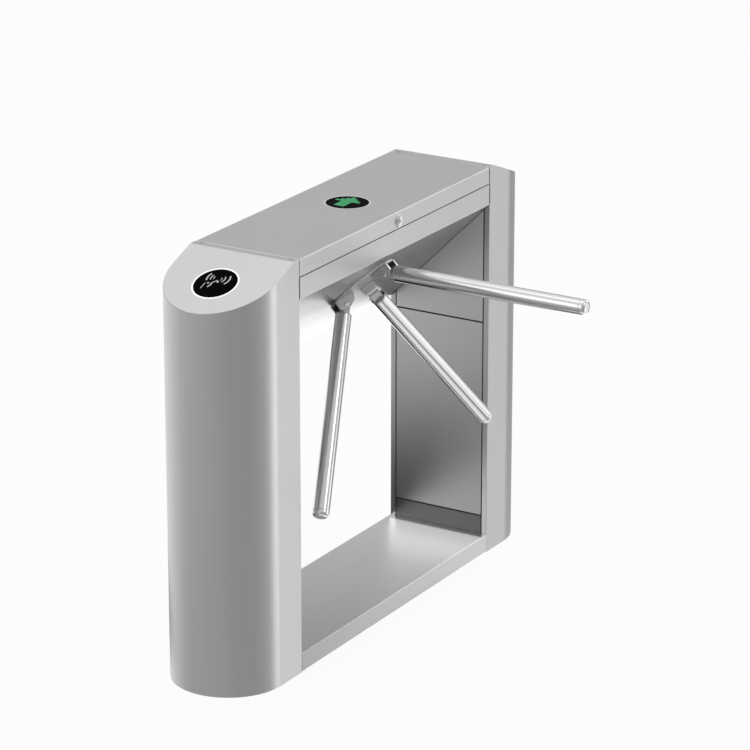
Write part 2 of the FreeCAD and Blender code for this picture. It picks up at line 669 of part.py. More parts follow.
# two butt hinges on the back: fixed leaf with the pin, lid leaf between
HINGE_Y = "(cab_width / 2 + hinge_barrel / 2 + hinge_stand)"
HINGE_Z = "(cab_height - lid_drop - seam_gap / 2)"
fixed_parts = []
moving_parts = []
for tag, sign in (("left", "-"), ("right", "")):
    middle = "%shinge_place" % sign
    third = "hinge_length / 3"
    start = "(%s - hinge_length / 2)" % middle
    leaf = block("hinge_%s_leaf" % tag, "hinge_length", "hinge_leaf", "hinge_head_leaf",
                 place((start, "cab_width / 2",
                        HINGE_Z + " - hinge_head_leaf - hinge_barrel / 2")))
    links = []
    for part, where in (("first", start), ("last", "%s + hinge_length * 2 / 3" % start)):
        tube = cylinder("hinge_%s_%s" % (tag, part), "hinge_barrel / 2", third,
                        place((where, HINGE_Y, HINGE_Z), "0; 1; 0", "90"))
        web = block("hinge_%s_%s_web" % (tag, part), third, "hinge_leaf",
                    "hinge_barrel / 2 + hinge_leaf",
                    place((where, "cab_width / 2",
                           HINGE_Z + " - hinge_barrel / 2 - hinge_leaf")))
        links += [tube, web]
    pin = cylinder("hinge_%s_pin" % tag, "hinge_pin / 2", "hinge_length",
                   place((start, HINGE_Y, HINGE_Z), "0; 1; 0", "90"))
    fixed_parts.append(fuse("hinge_%s_fixed" % tag, [leaf, pin] + links))
    knuckle = third + " - hinge_play * 2"
    knuckle_x = "%s + hinge_length / 3 + hinge_play" % start
    flap = block("hinge_%s_flap" % tag, knuckle, "hinge_leaf", "hinge_lid_leaf",
                 place((knuckle_x, "cab_width / 2", HINGE_Z + " + seam_gap")))
    eyelet = cylinder("hinge_%s_eyelet" % tag, "hinge_barrel / 2", knuckle,
                      place((knuckle_x, HINGE_Y, HINGE_Z), "0; 1; 0", "90"))
    bore = cylinder("hinge_%s_bore" % tag, "hinge_pin / 2 + run_fit", third,
                    place(("%s + hinge_length / 3" % start, HINGE_Y, HINGE_Z),
                          "0; 1; 0", "90"))
    moving = fuse("hinge_%s_moving" % tag, [flap, eyelet])
    moving_parts.append(cut("hinge_%s_swing" % tag, moving, [bore]))
node(together("lid_hinge_fixed", fixed_parts), "lid_hinge_fixed")
node(together("lid_hinge_moving", moving_parts), "lid_hinge_moving")

# ---------------------------------------------------------------------------
# Hub: turning disc in the sloped face, three clevises, their pins and magnets
# ---------------------------------------------------------------------------
disc = body_at("hub_disc", HUB)
disc_round = sketch(disc, "hub_disc_round", "XY_Plane", "disc_proud - disc_thick")
circle(disc_round, "0", "0", "disc_radius")
disc_pad = pad(disc, disc_round, "disc_thick")
disc_front = number_of("disc_proud")
front = edges_where(disc_pad.Shape, lambda edge: abs(edge.CenterOfMass.z - disc_front) < TOUCH)
fillet(disc, disc_pad, front, "disc_edge")
node(disc, "hub_disc")

pins = []
magnets = []
for tag, turn in ARMS:
    around = HUB + " * " + place(turn=turn)
    clevis = body_at("clevis_" + tag, around)
    ears = sketch(clevis, "clevis_%s_ears" % tag, "YZ_Plane")
    polygon(ears, ((PIN_V + " - ear_inner", "disc_proud"),
                   (PIN_V + " + ear_outer", "disc_proud"),
                   (PIN_V + " + ear_outer", PIN_W + " + ear_above"),
                   (PIN_V + " - ear_flat", PIN_W + " + ear_above"),
                   (PIN_V + " - ear_shoulder", PIN_W + " + ear_above - shoulder_drop"),
                   (PIN_V + " - ear_inner", "disc_proud + ear_thick")))
    ears_pad = pad(clevis, ears, "ear_gap + ear_thick * 2", both=True)

    def ear_corner(edge, v, w):
        middle = edge.CenterOfMass
        return (abs(edge.Length - number_of("ear_gap + ear_thick * 2")) < TOUCH
                and abs(middle.y - v) < TOUCH and abs(middle.z - w) < TOUCH)

    high = number_of(PIN_W + " + ear_above")
    outer_v = number_of(PIN_V + " + ear_outer")
    inner_v = number_of(PIN_V + " - ear_flat")
    outer_round = fillet(clevis, ears_pad,
                         edges_where(ears_pad.Shape, lambda edge: ear_corner(edge, outer_v, high)),
                         "ear_above")
    inner_round = fillet(clevis, outer_round,
                         edges_where(outer_round.Shape,
                                     lambda edge: ear_corner(edge, inner_v, high)),
                         "ear_above")
    # the slot stops at a heel, cut back where the root swings over it
    gap = sketch(clevis, "clevis_%s_gap" % tag, "YZ_Plane")
    swing = "(knuckle_radius + heel_gap)"
    polygon(gap, ((PIN_V + " - " + swing, "disc_proud + ear_web"),
                  (PIN_V + " + ear_outer + 10", "disc_proud + ear_web"),
                  (PIN_V + " + ear_outer + 10", PIN_W + " + ear_inner"),
                  ("%s - ear_inner - %s * sqrt(2)" % (PIN_V, swing), PIN_W + " + ear_inner"),
                  (PIN_V + " - " + swing, "%s - %s * (sqrt(2) - 1)" % (PIN_W, swing))))
    pocket(clevis, gap, "ear_gap")
    pin_hole = sketch(clevis, "clevis_%s_bore" % tag, "YZ_Plane")
    circle(pin_hole, PIN_V, PIN_W, "pin_radius + run_fit")
    pocket(clevis, pin_hole)
    node(clevis, "clevis_" + tag)

    across = around + " * " + place(("0", PIN_V, PIN_W), "0; 1; 0", "90")
    span = "(ear_gap / 2 + ear_thick)"
    shank = cylinder("pin_%s_shank" % tag, "pin_radius", "%s * 2" % span,
                     across + " * " + place(("0", "0", "-" + span)))
    heads = [cylinder("pin_%s_%s" % (tag, end), "pin_head", "pin_head_thick",
                      across + " * " + place(("0", "0", where)))
             for end, where in (("head", span), ("nut", "-%s - pin_head_thick" % span))]
    pins.append(fuse("pin_" + tag, [shank] + heads))
    magnets.append(cylinder("magnet_" + tag, "magnet_radius",
                            "%s - knuckle_radius - magnet_gap - disc_proud - ear_web" % PIN_W,
                            around + " * " + place(("0", PIN_V, "disc_proud + ear_web"))))
node(together("arm_pins", pins), "arm_pins")
node(together("hold_magnets", magnets), "hold_magnets")

# ---------------------------------------------------------------------------
# Arms: root on the pin, tube and rounded end cap; Z along the arm
# ---------------------------------------------------------------------------
for tag, turn in ARMS:
    along = (HUB + " * " + place(turn=turn) + " * "
             + place(("0", PIN_V, PIN_W), "1; 0; 0", "-" + ARM_LEAN))
    root = body_at("arm_root_" + tag, along)
    knuckle = sketch(root, "arm_root_%s_knuckle" % tag, "YZ_Plane")
    circle(knuckle, "0", "0", "knuckle_radius")
    pad(root, knuckle, "ear_gap - root_side_gap * 2", both=True)
    neck = sketch(root, "arm_root_%s_neck" % tag, "YZ_Plane")
    rectangle(neck, "-knuckle_radius", "knuckle_radius", "0", "collar_start + collar_thick / 2")
    pad(root, neck, "ear_gap - root_side_gap * 2", both=True)
    collar = sketch(root, "arm_root_%s_collar" % tag, "XY_Plane", "collar_start")
    circle(collar, "0", "0", "tube_radius")
    pad(root, collar, "collar_thick")
    spigot = sketch(root, "arm_root_%s_spigot" % tag, "XY_Plane", "collar_start + collar_thick / 2")
    circle(spigot, "0", "0", "tube_radius - tube_wall - spigot_fit")
    pad(root, spigot, "collar_thick / 2 + spigot_length")
    bore = sketch(root, "arm_root_%s_bore" % tag, "YZ_Plane")
    circle(bore, "0", "0", "pin_radius + run_fit")
    pocket(root, bore)
    node(root, "arm_root_" + tag)

    tube = body_at("arm_tube_" + tag, along)
    wall = sketch(tube, "arm_tube_%s_section" % tag, "XY_Plane",
                  "collar_start + collar_thick + tube_seam")
    circle(wall, "0", "0", "tube_radius")
    circle(wall, "0", "0", "tube_radius - tube_wall")
    pad(tube, wall, "tube_length")
    node(tube, "arm_tube_" + tag)

    cap = body_at("arm_cap_" + tag, along)
    tube_end = "(collar_start + collar_thick + tube_seam + tube_length)"
    dome = sketch(cap, "arm_cap_%s_dome" % tag, "XY_Plane", tube_end + " + tube_seam")
    circle(dome, "0", "0", "tube_radius")
    dome_pad = pad(cap, dome, "cap_length")
    tip = number_of(tube_end + " + tube_seam + cap_length")
    rim = edges_where(dome_pad.Shape,
                      lambda edge: abs(edge.CenterOfMass.z - tip) < TOUCH)
    fillet(cap, dome_pad, rim, "cap_round")
    plug = sketch(cap, "arm_cap_%s_plug" % tag, "XY_Plane", tube_end + " - cap_plug")
    circle(plug, "0", "0", "tube_radius - tube_wall - spigot_fit")
    pad(cap, plug, "cap_plug + tube_seam + cap_length / 3")
    node(cap, "arm_cap_" + tag)

# ---------------------------------------------------------------------------
# Mechanism behind the sloped face: plate, bearing housing, shaft
# ---------------------------------------------------------------------------
plate = body_at("mechanism_plate", HUB)
plate_flat = sketch(plate, "mechanism_plate_flat", "XY_Plane", "-sheet_wall")
rectangle(plate_flat, "-plate_width / 2", "plate_width / 2", "-plate_reach", "plate_reach")
circle(plate_flat, "0", "0", "shaft_flange + flange_gap")
pad(plate, plate_flat, "plate_thick", backwards=True)
node(plate, "mechanism_plate")

housing = body_at("bearing_housing", HUB)
housing_side = sketch(housing, "bearing_housing_side", "XZ_Plane")
seat_in = "(bearing_outer + run_fit / 2)"
throat = "(bearing_outer - bearing_seat)"
polygon(housing_side, ((seat_in, PLATE_BACK),
                       ("housing_flange", PLATE_BACK),
                       ("housing_flange", PLATE_BACK + " - housing_flange_thick"),
                       ("housing_radius", PLATE_BACK + " - housing_flange_thick"),
                       ("housing_radius", CARRIER_FRONT),
                       (seat_in, CARRIER_FRONT),
                       (seat_in, CARRIER_FRONT + " + bearing_width"),
                       (throat, CARRIER_FRONT + " + bearing_width"),
                       (throat, PLATE_BACK + " - bearing_width"),
                       (seat_in, PLATE_BACK + " - bearing_width")))
revolve(housing, housing_side, "V_Axis")
node(housing, "bearing_housing")

rings = []
for tag, level in (("front", PLATE_BACK + " - bearing_width"), ("rear", CARRIER_FRONT)):
    at_level = HUB + " * " + place(("0", "0", level))
    outer = cylinder("bearing_%s_outer" % tag, "bearing_outer", "bearing_width", at_level)
    inner = cylinder("bearing_%s_inner" % tag, "shaft_radius + run_fit", "bearing_width",
                     at_level)
    rings.append(cut("bearing_" + tag, outer, [inner]))
node(together("bearings", rings), "bearings")

DISC_BACK = "(disc_proud - disc_thick)"
VANE_FRONT = "(%s - solenoid_size)" % CARRIER_BACK
shaft = body_at("main_shaft", HUB)
shaft_side = sketch(shaft, "main_shaft_side", "XZ_Plane")
polygon(shaft_side, (("0", DISC_BACK),
                     ("shaft_flange", DISC_BACK),
                     ("shaft_flange", DISC_BACK + " - shaft_flange_thick"),
                     ("shaft_radius", DISC_BACK + " - shaft_flange_thick"),
                     ("shaft_radius", WHEEL_BACK + " - wheel_thick"),
                     ("shaft_tail", WHEEL_BACK + " - wheel_thick"),
                     ("shaft_tail", VANE_FRONT + " - vane_thick * 4"),
                     ("0", VANE_FRONT + " - vane_thick * 4")))
revolve(shaft, shaft_side, "V_Axis")
node(shaft, "main_shaft")

# carrier plate on the end of the housing, for the pawls and solenoids
carrier = body_at("carrier_plate", HUB)
carrier_flat = sketch(carrier, "carrier_plate_flat", "XY_Plane", CARRIER_FRONT)
rectangle(carrier_flat, "-pawl_side - solenoid_start - solenoid_length",
          "pawl_side + solenoid_start + solenoid_length", "-carrier_reach", "carrier_reach")
circle(carrier_flat, "0", "0", "shaft_radius + flange_gap")
pad(carrier, carrier_flat, "carrier_thick", backwards=True)
posts = sketch(carrier, "carrier_plate_posts", "XY_Plane", CARRIER_BACK + " + carrier_thick / 2")
for sign in ("-", ""):
    circle(posts, sign + "pawl_side", "-pawl_drop", "pawl_pivot")
pad(carrier, posts, "carrier_thick / 2 + wheel_gap + wheel_thick + 2", backwards=True)
node(carrier, "carrier_plate")

stands = []
for sign_x in ("-", ""):
    for sign_y in ("-", ""):
        corner = HUB + " * " + place((sign_x + "(plate_width / 2 - standoff_inset)",
                                      sign_y + "(carrier_reach - standoff_edge)", CARRIER_FRONT))
        name = "standoff_%d" % len(stands)
        stands.append(cylinder(name, "standoff_radius", "housing_length", corner))
node(together("standoffs", stands), "standoffs")

# lock wheel with evenly spaced notches
wheel = body_at("lock_wheel", HUB)
wheel_flat = sketch(wheel, "lock_wheel_flat", "XY_Plane", WHEEL_FRONT)
circle(wheel_flat, "0", "0", "wheel_radius")
circle(wheel_flat, "0", "0", "shaft_radius + run_fit / 2")
pad(wheel, wheel_flat, "wheel_thick", backwards=True)
wheel_boss = sketch(wheel, "lock_wheel_boss", "XY_Plane", WHEEL_BACK)
circle(wheel_boss, "0", "0", "wheel_boss")
circle(wheel_boss, "0", "0", "shaft_radius + run_fit / 2")
pad(wheel, wheel_boss, "wheel_thick / 2", backwards=True)
notch = sketch(wheel, "lock_wheel_notch", "XY_Plane", WHEEL_FRONT)
rectangle(notch, "wheel_radius - notch_depth", "wheel_radius + 5",
          "-notch_width / 2", "notch_width / 2")
polar(wheel, pocket(wheel, notch), "notch_count")
node(wheel, "lock_wheel")

# sensor disc and its light forks
vane = body_at("sensor_disc", HUB)
vane_flat = sketch(vane, "sensor_disc_flat", "XY_Plane", VANE_FRONT)
circle(vane_flat, "0", "0", "vane_radius")
circle(vane_flat, "0", "0", "shaft_tail + run_fit / 2")
pad(vane, vane_flat, "vane_thick", backwards=True)
vane_slot = sketch(vane, "sensor_disc_slot", "XY_Plane", VANE_FRONT)
rectangle(vane_slot, "vane_radius - slot_in", "vane_radius - slot_out",
          "-slot_width / 2", "slot_width / 2")
polar(vane, pocket(vane, vane_slot), "vane_slots")
node(vane, "sensor_disc")

forks = []
for tag, angle in (("upper", "60"), ("lower", "120")):
    turned = HUB + " * " + place(turn=angle)
    post_start = VANE_FRONT + " - vane_thick - sensor_gap - sensor_jaw * 1.5"
    post = block("sensor_%s_post" % tag, "sensor_post", "sensor_width",
                 "%s - (%s)" % (CARRIER_BACK, post_start),
                 turned + " * " + place(("vane_radius + sensor_post_gap",
                                         "-sensor_width / 2", post_start)))
    jaws = [block("sensor_%s_jaw_%s" % (tag, end), "slot_in + sensor_jaw", "sensor_width",
                  "sensor_jaw",
                  turned + " * " + place(("vane_radius - slot_in", "-sensor_width / 2", level)))
            for end, level in (("in", VANE_FRONT + " + sensor_gap"),
                               ("out", VANE_FRONT + " - vane_thick - sensor_gap - sensor_jaw"))]
    forks.append(fuse("sensor_" + tag, [post] + jaws))
node(together("position_sensors", forks), "position_sensors")

# two pawls, one for each way through, each pushed by its own solenoid
for side, mirror, swing in (("right", "0", "-pawl_swing"), ("left", "180", "-pawl_swing")):
    # the left set is the right one turned over about the arm plane
    base = HUB
    if side == "left":
        base = HUB + " * " + place(("0", "0", "%s + %s" % (WHEEL_FRONT, WHEEL_BACK)),
                                   "0; 1; 0", "180")
    level = WHEEL_FRONT + " / 2 + " + WHEEL_BACK + " / 2 - pawl_thick / 2"
    pawl = body_at("pawl_" + side, base + " * " + place(("pawl_side", "-pawl_drop", level),
                                                       turn=swing))
    nose_tip = "(-pawl_side + wheel_radius - notch_depth + nose_clear)"
    lever = sketch(pawl, "pawl_%s_lever" % side, "XY_Plane")
    fork = "(link_radius + link_gap)"
    polygon(lever, (("pawl_half", "0"),
                    ("pawl_half", "link_reach + fork_end"),
                    (fork, "link_reach + fork_end"),
                    (fork, "link_reach - fork_floor"),
                    ("-" + fork, "link_reach - fork_floor"),
                    ("-" + fork, "link_reach + fork_end"),
                    ("-pawl_half", "link_reach + fork_end"),
                    ("-pawl_half", "pawl_drop + nose_half + nose_flare"),
                    (nose_tip, "pawl_drop + nose_half"),
                    (nose_tip, "pawl_drop - nose_half"),
                    ("-pawl_half", "pawl_drop - nose_half - nose_flare"),
                    ("-pawl_half", "0")))
    pad(pawl, lever, "pawl_thick")
    boss = sketch(pawl, "pawl_%s_boss" % side, "XY_Plane")
    circle(boss, "0", "0", "pawl_boss")
    pad(pawl, boss, "pawl_thick")
    eye = sketch(pawl, "pawl_%s_eye" % side, "XY_Plane")
    circle(eye, "0", "0", "pawl_pivot + run_fit")
    pocket(pawl, eye)
    node(pawl, "pawl_" + side)

    travel = "(link_reach * pawl_swing * pi / 180)"
    link_y = "(link_reach - pawl_drop)"
    rod_level = "(%s - solenoid_size / 2)" % CARRIER_BACK
    if side == "left":
        rod_level = "(%s + %s - (%s))" % (WHEEL_FRONT, WHEEL_BACK, rod_level)
    axis_x = base + " * " + place(("pawl_side + " + travel, link_y, rod_level),
                                  "0; 1; 0", "90")
    rod = cylinder("plunger_%s_rod" % side, "plunger_radius", "plunger_length",
                   axis_x + " * " + place(("0", "0", "-link_radius - rod_end")))
    far = "(%s + pawl_thick)" % level
    if side == "left":
        far = level
    link = cylinder("plunger_%s_link" % side, "link_radius", "abs(%s - %s)" % (far, rod_level),
                    base + " * " + place(("pawl_side + " + travel, link_y,
                                          "min(%s; %s)" % (far, rod_level))))
    node(fuse("plunger_" + side, [rod, link]), "plunger_" + side)

    coil = block("solenoid_%s_coil" % side, "solenoid_length", "solenoid_size", "solenoid_size",
                 base + " * " + place(("pawl_side + solenoid_start",
                                       link_y + " - solenoid_size / 2",
                                       rod_level + " - solenoid_size / 2")))
    core = cylinder("solenoid_%s_bore" % side, "plunger_radius + run_fit * 2",
                    "solenoid_length + 10",
                    base + " * " + place(("pawl_side + solenoid_start - 5", link_y, rod_level),
                                         "0; 1; 0", "90"))
    node(cut("solenoid_" + side, coil, [core]), "solenoid_" + side)

# ---------------------------------------------------------------------------
# Electronics on the back wall of the head
# ---------------------------------------------------------------------------
WALL_Y = "(cab_width / 2 - sheet_wall)"
BOARD_X = "(bridge_length / 2 - board_inset)"
BOARD_Z = "(cab_height - board_drop)"
board = block("board_sheet", "board_length", "board_thick", "board_height",
              place((BOARD_X + " - board_length / 2", WALL_Y + " - board_post - board_thick",
                     BOARD_Z + " - board_height / 2")))
legs = []
for across in ("+", "-"):
    for up in ("+", "-"):
        leg_x = "%s %s (board_length / 2 - post_inset)" % (BOARD_X, across)
        leg_z = "%s %s (board_height / 2 - post_inset)" % (BOARD_Z, up)
        legs.append(cylinder("board_leg_%d" % len(legs), "post_radius", "board_post",
                             place((leg_x, WALL_Y, leg_z), "1; 0; 0", "90")))
BOARD_FRONT = WALL_Y + " - board_post - board_thick"
counter_chip = block("board_chip", "chip_side", "chip_thick", "chip_side",
                     place((BOARD_X + " - chip_side / 2", BOARD_FRONT + " - chip_thick",
                            BOARD_Z + " - chip_side / 2")))
terminals = block("board_terminals", "board_length - terminal_inset * 2",
                  "terminal_side", "terminal_side",
                  place((BOARD_X + " - board_length / 2 + terminal_inset",
                         BOARD_FRONT + " - terminal_side",
                         BOARD_Z + " - board_height / 2 + terminal_rise")))
node(fuse("control_board", [board, counter_chip, terminals] + legs), "control_board")
node(block("power_supply", "supply_length", "supply_depth", "supply_height",
           place(("-%s - supply_length / 2" % BOARD_X, WALL_Y + " - supply_depth",
                  BOARD_Z + " - supply_height / 2"))), "power_supply")

# ---------------------------------------------------------------------------
# Recompute, check and write
# ---------------------------------------------------------------------------
doc.recompute()
for thing in doc.Objects:
    if "Invalid" in thing.State or "Error" in thing.State:
        raise RuntimeError("%s failed: %s" % (thing.Name, thing.State))
for thing in NODES:
    if thing.Shape.isNull() or not thing.Shape.isValid():
        raise RuntimeError("%s has no valid shape" % thing.Label)

os.makedirs("parts", exist_ok=True)
for thing in NODES:
    thing.Shape.exportStep("parts/%s.step" % thing.Label)
    box = thing.Shape.BoundBox
    print("%-22s %2d solids %12.1f mm3  x %.1f %.1f  y %.1f %.1f  z %.1f %.1f" % (
        thing.Label, len(thing.Shape.Solids), thing.Shape.Volume,
        box.XMin, box.XMax, box.YMin, box.YMax, box.ZMin, box.ZMax))
print(len(NODES), "nodes")
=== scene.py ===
import json
import math

import bmesh
import bpy
from mathutils import Matrix, Vector


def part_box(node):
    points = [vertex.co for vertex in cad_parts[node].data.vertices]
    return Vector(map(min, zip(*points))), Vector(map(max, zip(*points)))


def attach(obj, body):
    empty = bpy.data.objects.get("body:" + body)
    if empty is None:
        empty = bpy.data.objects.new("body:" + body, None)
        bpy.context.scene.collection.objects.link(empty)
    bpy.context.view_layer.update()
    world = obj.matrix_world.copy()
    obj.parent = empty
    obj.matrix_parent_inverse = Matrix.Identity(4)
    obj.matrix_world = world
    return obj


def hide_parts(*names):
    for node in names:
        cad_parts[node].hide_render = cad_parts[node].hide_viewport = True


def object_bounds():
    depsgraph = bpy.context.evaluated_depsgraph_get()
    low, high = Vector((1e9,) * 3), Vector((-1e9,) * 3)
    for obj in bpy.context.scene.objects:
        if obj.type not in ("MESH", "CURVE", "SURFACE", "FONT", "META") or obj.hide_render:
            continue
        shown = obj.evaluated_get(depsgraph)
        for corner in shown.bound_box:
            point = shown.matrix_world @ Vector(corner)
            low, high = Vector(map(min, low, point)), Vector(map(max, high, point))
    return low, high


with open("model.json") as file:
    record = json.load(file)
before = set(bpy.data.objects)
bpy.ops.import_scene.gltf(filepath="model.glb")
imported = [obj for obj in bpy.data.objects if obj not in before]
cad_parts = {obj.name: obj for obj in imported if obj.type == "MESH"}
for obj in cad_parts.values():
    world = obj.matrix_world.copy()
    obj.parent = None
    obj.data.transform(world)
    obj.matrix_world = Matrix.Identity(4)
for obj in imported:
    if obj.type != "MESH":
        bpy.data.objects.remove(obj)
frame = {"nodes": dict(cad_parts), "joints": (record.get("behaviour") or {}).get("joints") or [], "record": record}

cad_low, cad_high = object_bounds()

# ---------------------------------------------------------------------------
# Plinth between the columns. A channel of 2 mm stainless sheet with a hairline
# finish, folded down at the front and back and in again along the floor.
# ---------------------------------------------------------------------------
SHEET = 0.002
PLINTH_LIP = 0.018
PLINTH_FOLD = 0.0026


def hairline_steel(name, grey, roughness, grain, streak=0.02):
    """Stainless sheet ground in one direction: fine lines along the grain, and
    broader bands where the belt pressed harder."""
    steel = bpy.data.materials.new(name)
    steel.use_nodes = True
    tree = steel.node_tree
    skin = tree.nodes["Principled BSDF"]
    skin.inputs["Metallic"].default_value = 1.0
    place = tree.nodes.new("ShaderNodeTexCoord")
    lines = tree.nodes.new("ShaderNodeMapping")
    lines.inputs["Scale"].default_value = [3.0 if axis == grain else 1500.0 for axis in range(3)]
    hair = tree.nodes.new("ShaderNodeTexNoise")
    hair.inputs["Scale"].default_value = 1.0
    hair.inputs["Detail"].default_value = 3.0
    wide = tree.nodes.new("ShaderNodeMapping")
    wide.inputs["Scale"].default_value = [0.8 if axis == grain else 70.0 for axis in range(3)]
    band = tree.nodes.new("ShaderNodeTexNoise")
    band.inputs["Scale"].default_value = 1.0
    band.inputs["Detail"].default_value = 4.0
    cloud = tree.nodes.new("ShaderNodeTexNoise")
    cloud.inputs["Scale"].default_value = 5.0
    cloud.inputs["Detail"].default_value = 2.0
    tone = tree.nodes.new("ShaderNodeMapRange")
    tone.inputs["From Min"].default_value = 0.3
    tone.inputs["From Max"].default_value = 0.7
    tone.inputs["To Min"].default_value = grey * (1 - streak)
    tone.inputs["To Max"].default_value = min(1.0, grey * (1 + streak))
    shine = tree.nodes.new("ShaderNodeMapRange")
    shine.inputs["From Min"].default_value = 0.25
    shine.inputs["From Max"].default_value = 0.75
    shine.inputs["To Min"].default_value = roughness - 0.05
    shine.inputs["To Max"].default_value = roughness + 0.07
    mixed = tree.nodes.new("ShaderNodeMath")
    mixed.operation = "MULTIPLY_ADD"
    mixed.inputs[1].default_value = 0.5
    halved = tree.nodes.new("ShaderNodeMath")
    halved.operation = "MULTIPLY"
    halved.inputs[1].default_value = 0.5
    relief = tree.nodes.new("ShaderNodeBump")
    relief.inputs["Strength"].default_value = 0.12
    relief.inputs["Distance"].default_value = 0.0002
    link = tree.links.new
    link(place.outputs["Object"], lines.inputs["Vector"])
    link(place.outputs["Object"], wide.inputs["Vector"])
    link(place.outputs["Object"], cloud.inputs["Vector"])
    link(lines.outputs["Vector"], hair.inputs["Vector"])
    link(wide.outputs["Vector"], band.inputs["Vector"])
    link(cloud.outputs["Fac"], halved.inputs[0])
    link(band.outputs["Fac"], mixed.inputs[0])
    link(halved.outputs[0], mixed.inputs[2])
    link(mixed.outputs[0], tone.inputs["Value"])
    link(tone.outputs["Result"], skin.inputs["Base Color"])
    link(hair.outputs["Fac"], shine.inputs["Value"])
    link(shine.outputs["Result"], skin.inputs["Roughness"])
    link(hair.outputs["Fac"], relief.inputs["Height"])
    link(relief.outputs["Normal"], skin.inputs["Normal"])
    return steel


def painted_shade_along(steel, axis, first, last):
    """Paint shade into a steel along one axis: pairs of (place, share of its grey), darker where the share is
    lower.
    """
    nodes, link = steel.node_tree.nodes, steel.node_tree.links.new
    base = nodes["Principled BSDF"].inputs["Base Color"]
    unshaded_grey = base.links[0].from_socket
    place = next(node for node in nodes if node.bl_idname == "ShaderNodeTexCoord")
    shade_axis = nodes.new("ShaderNodeSeparateXYZ")
    shade_share = nodes.new("ShaderNodeMapRange")
    shade_share.inputs["From Min"].default_value, shade_share.inputs["To Min"].default_value = first
    shade_share.inputs["From Max"].default_value, shade_share.inputs["To Max"].default_value = last
    toned = nodes.new("ShaderNodeVectorMath")
    toned.operation = "SCALE"
    link(place.outputs["Object"], shade_axis.inputs["Vector"])
    link(shade_axis.outputs[axis], shade_share.inputs["Value"])
    link(unshaded_grey, toned.inputs[0])
    link(shade_share.outputs["Result"], toned.inputs["Scale"])
    link(toned.outputs["Vector"], base)


def sheet_run(path, start, stop):
    """A run of sheet: an open outline in the YZ plane drawn out along X."""
    made = bmesh.new()
    corners = [made.verts.new((start, y, z)) for y, z in path]
    edges = [made.edges.new(pair) for pair in zip(corners, corners[1:])]
    drawn = bmesh.ops.extrude_edge_only(made, edges=edges)
    moved = [item for item in drawn["geom"] if isinstance(item, bmesh.types.BMVert)]
    bmesh.ops.translate(made, vec=(stop - start, 0, 0), verts=moved)
    return made


def round_folds(made, radius, least=math.radians(12), segments=3):
    """Round every edge where two faces meet at more than the least angle."""
    folds = [edge for edge in made.edges
             if len(edge.link_faces) == 2 and edge.calc_face_angle(0) > least]
    bmesh.ops.bevel(made, geom=folds, offset=radius, offset_type="OFFSET", segments=segments,
                    profile=0.5, affect="EDGES", material=-1, clamp_overlap=True)


def face_out(made, point, outward):
    """Turn all faces over if the face nearest a point looks the wrong way."""
    bmesh.ops.recalc_face_normals(made, faces=made.faces[:])
    near = min(made.faces, key=lambda face: (face.calc_center_median() - Vector(point)).length)
    if near.normal.dot(Vector(outward)) < 0:
        bmesh.ops.reverse_faces(made, faces=made.faces[:])


def thicken(made, wall):
    """Give an open skin its wall on the inner side."""
    bmesh.ops.solidify(made, geom=made.faces[:], thickness=wall)
    bmesh.ops.recalc_face_normals(made, faces=made.faces[:])


def finished(made, name, material, body, replaces=(), smooth=30):
    """Make a piece from its mesh, shaded smooth up to an angle."""
    mesh = bpy.data.meshes.new(name)
    made.to_mesh(mesh)
    made.free()
    mesh.shade_smooth()
    mesh.set_sharp_from_angle(angle=math.radians(smooth))
    piece = bpy.data.objects.new(name, mesh)
    bpy.context.scene.collection.objects.link(piece)
    mesh.materials.append(material)
    even = piece.modifiers.new("even_normals", "WEIGHTED_NORMAL")
    even.keep_sharp = True
    even.weight = 90
    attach(piece, body)
    if replaces:
        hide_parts(*replaces)
    return piece


plinth_low, plinth_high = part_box("base_plinth")
plinth_steel = hairline_steel("plinth_steel", 0.70, 0.34, 0)
# painted shade: the plinth's grey falls from its right end to 0.68 at its left end by the column
painted_shade_along(plinth_steel, 0, (-0.42, 0.68), (0.35, 1.06))
plinth = sheet_run(((plinth_low.y + PLINTH_LIP, 0.0),
                    (plinth_low.y, 0.0),
                    (plinth_low.y, plinth_high.z),
                    (plinth_high.y, plinth_high.z),
                    (plinth_high.y, 0.0),
                    (plinth_high.y - PLINTH_LIP, 0.0)),
                   plinth_low.x, plinth_high.x)
face_out(plinth, (0, 0, plinth_high.z), (0, 0, 1))
round_folds(plinth, PLINTH_FOLD)
thicken(plinth, SHEET)
finished(plinth, "plinth_channel", plinth_steel, "cabinet", ["base_plinth"])

# ---------------------------------------------------------------------------
# Two end columns. Each is one sheet rolled to a half round at its end and
# folded in at its inner edges, with a level strip and a sloped facet welded on
# top and the weld ground back to a fine bright edge.
# ---------------------------------------------------------------------------
RETURN = 0.014
LEDGE = 0.012
STRIP = 0.020
FACET = math.radians(21.5)
COLUMN_FOLD = 0.0024
NEAR = 1e-5
column_steel = hairline_steel("column_steel", 0.66, 0.33, 2)


def ordered_loop(edges):
    """The vertices of a closed ring of edges, in order round it."""
    left = set(edges)
    edge = left.pop()
    ring = [edge.verts[0], edge.verts[1]]
    while left:
        step = next(item for item in left if ring[-1] in item.verts)
        left.remove(step)
        ring.append(step.other_vert(ring[-1]))
    return ring[:-1]


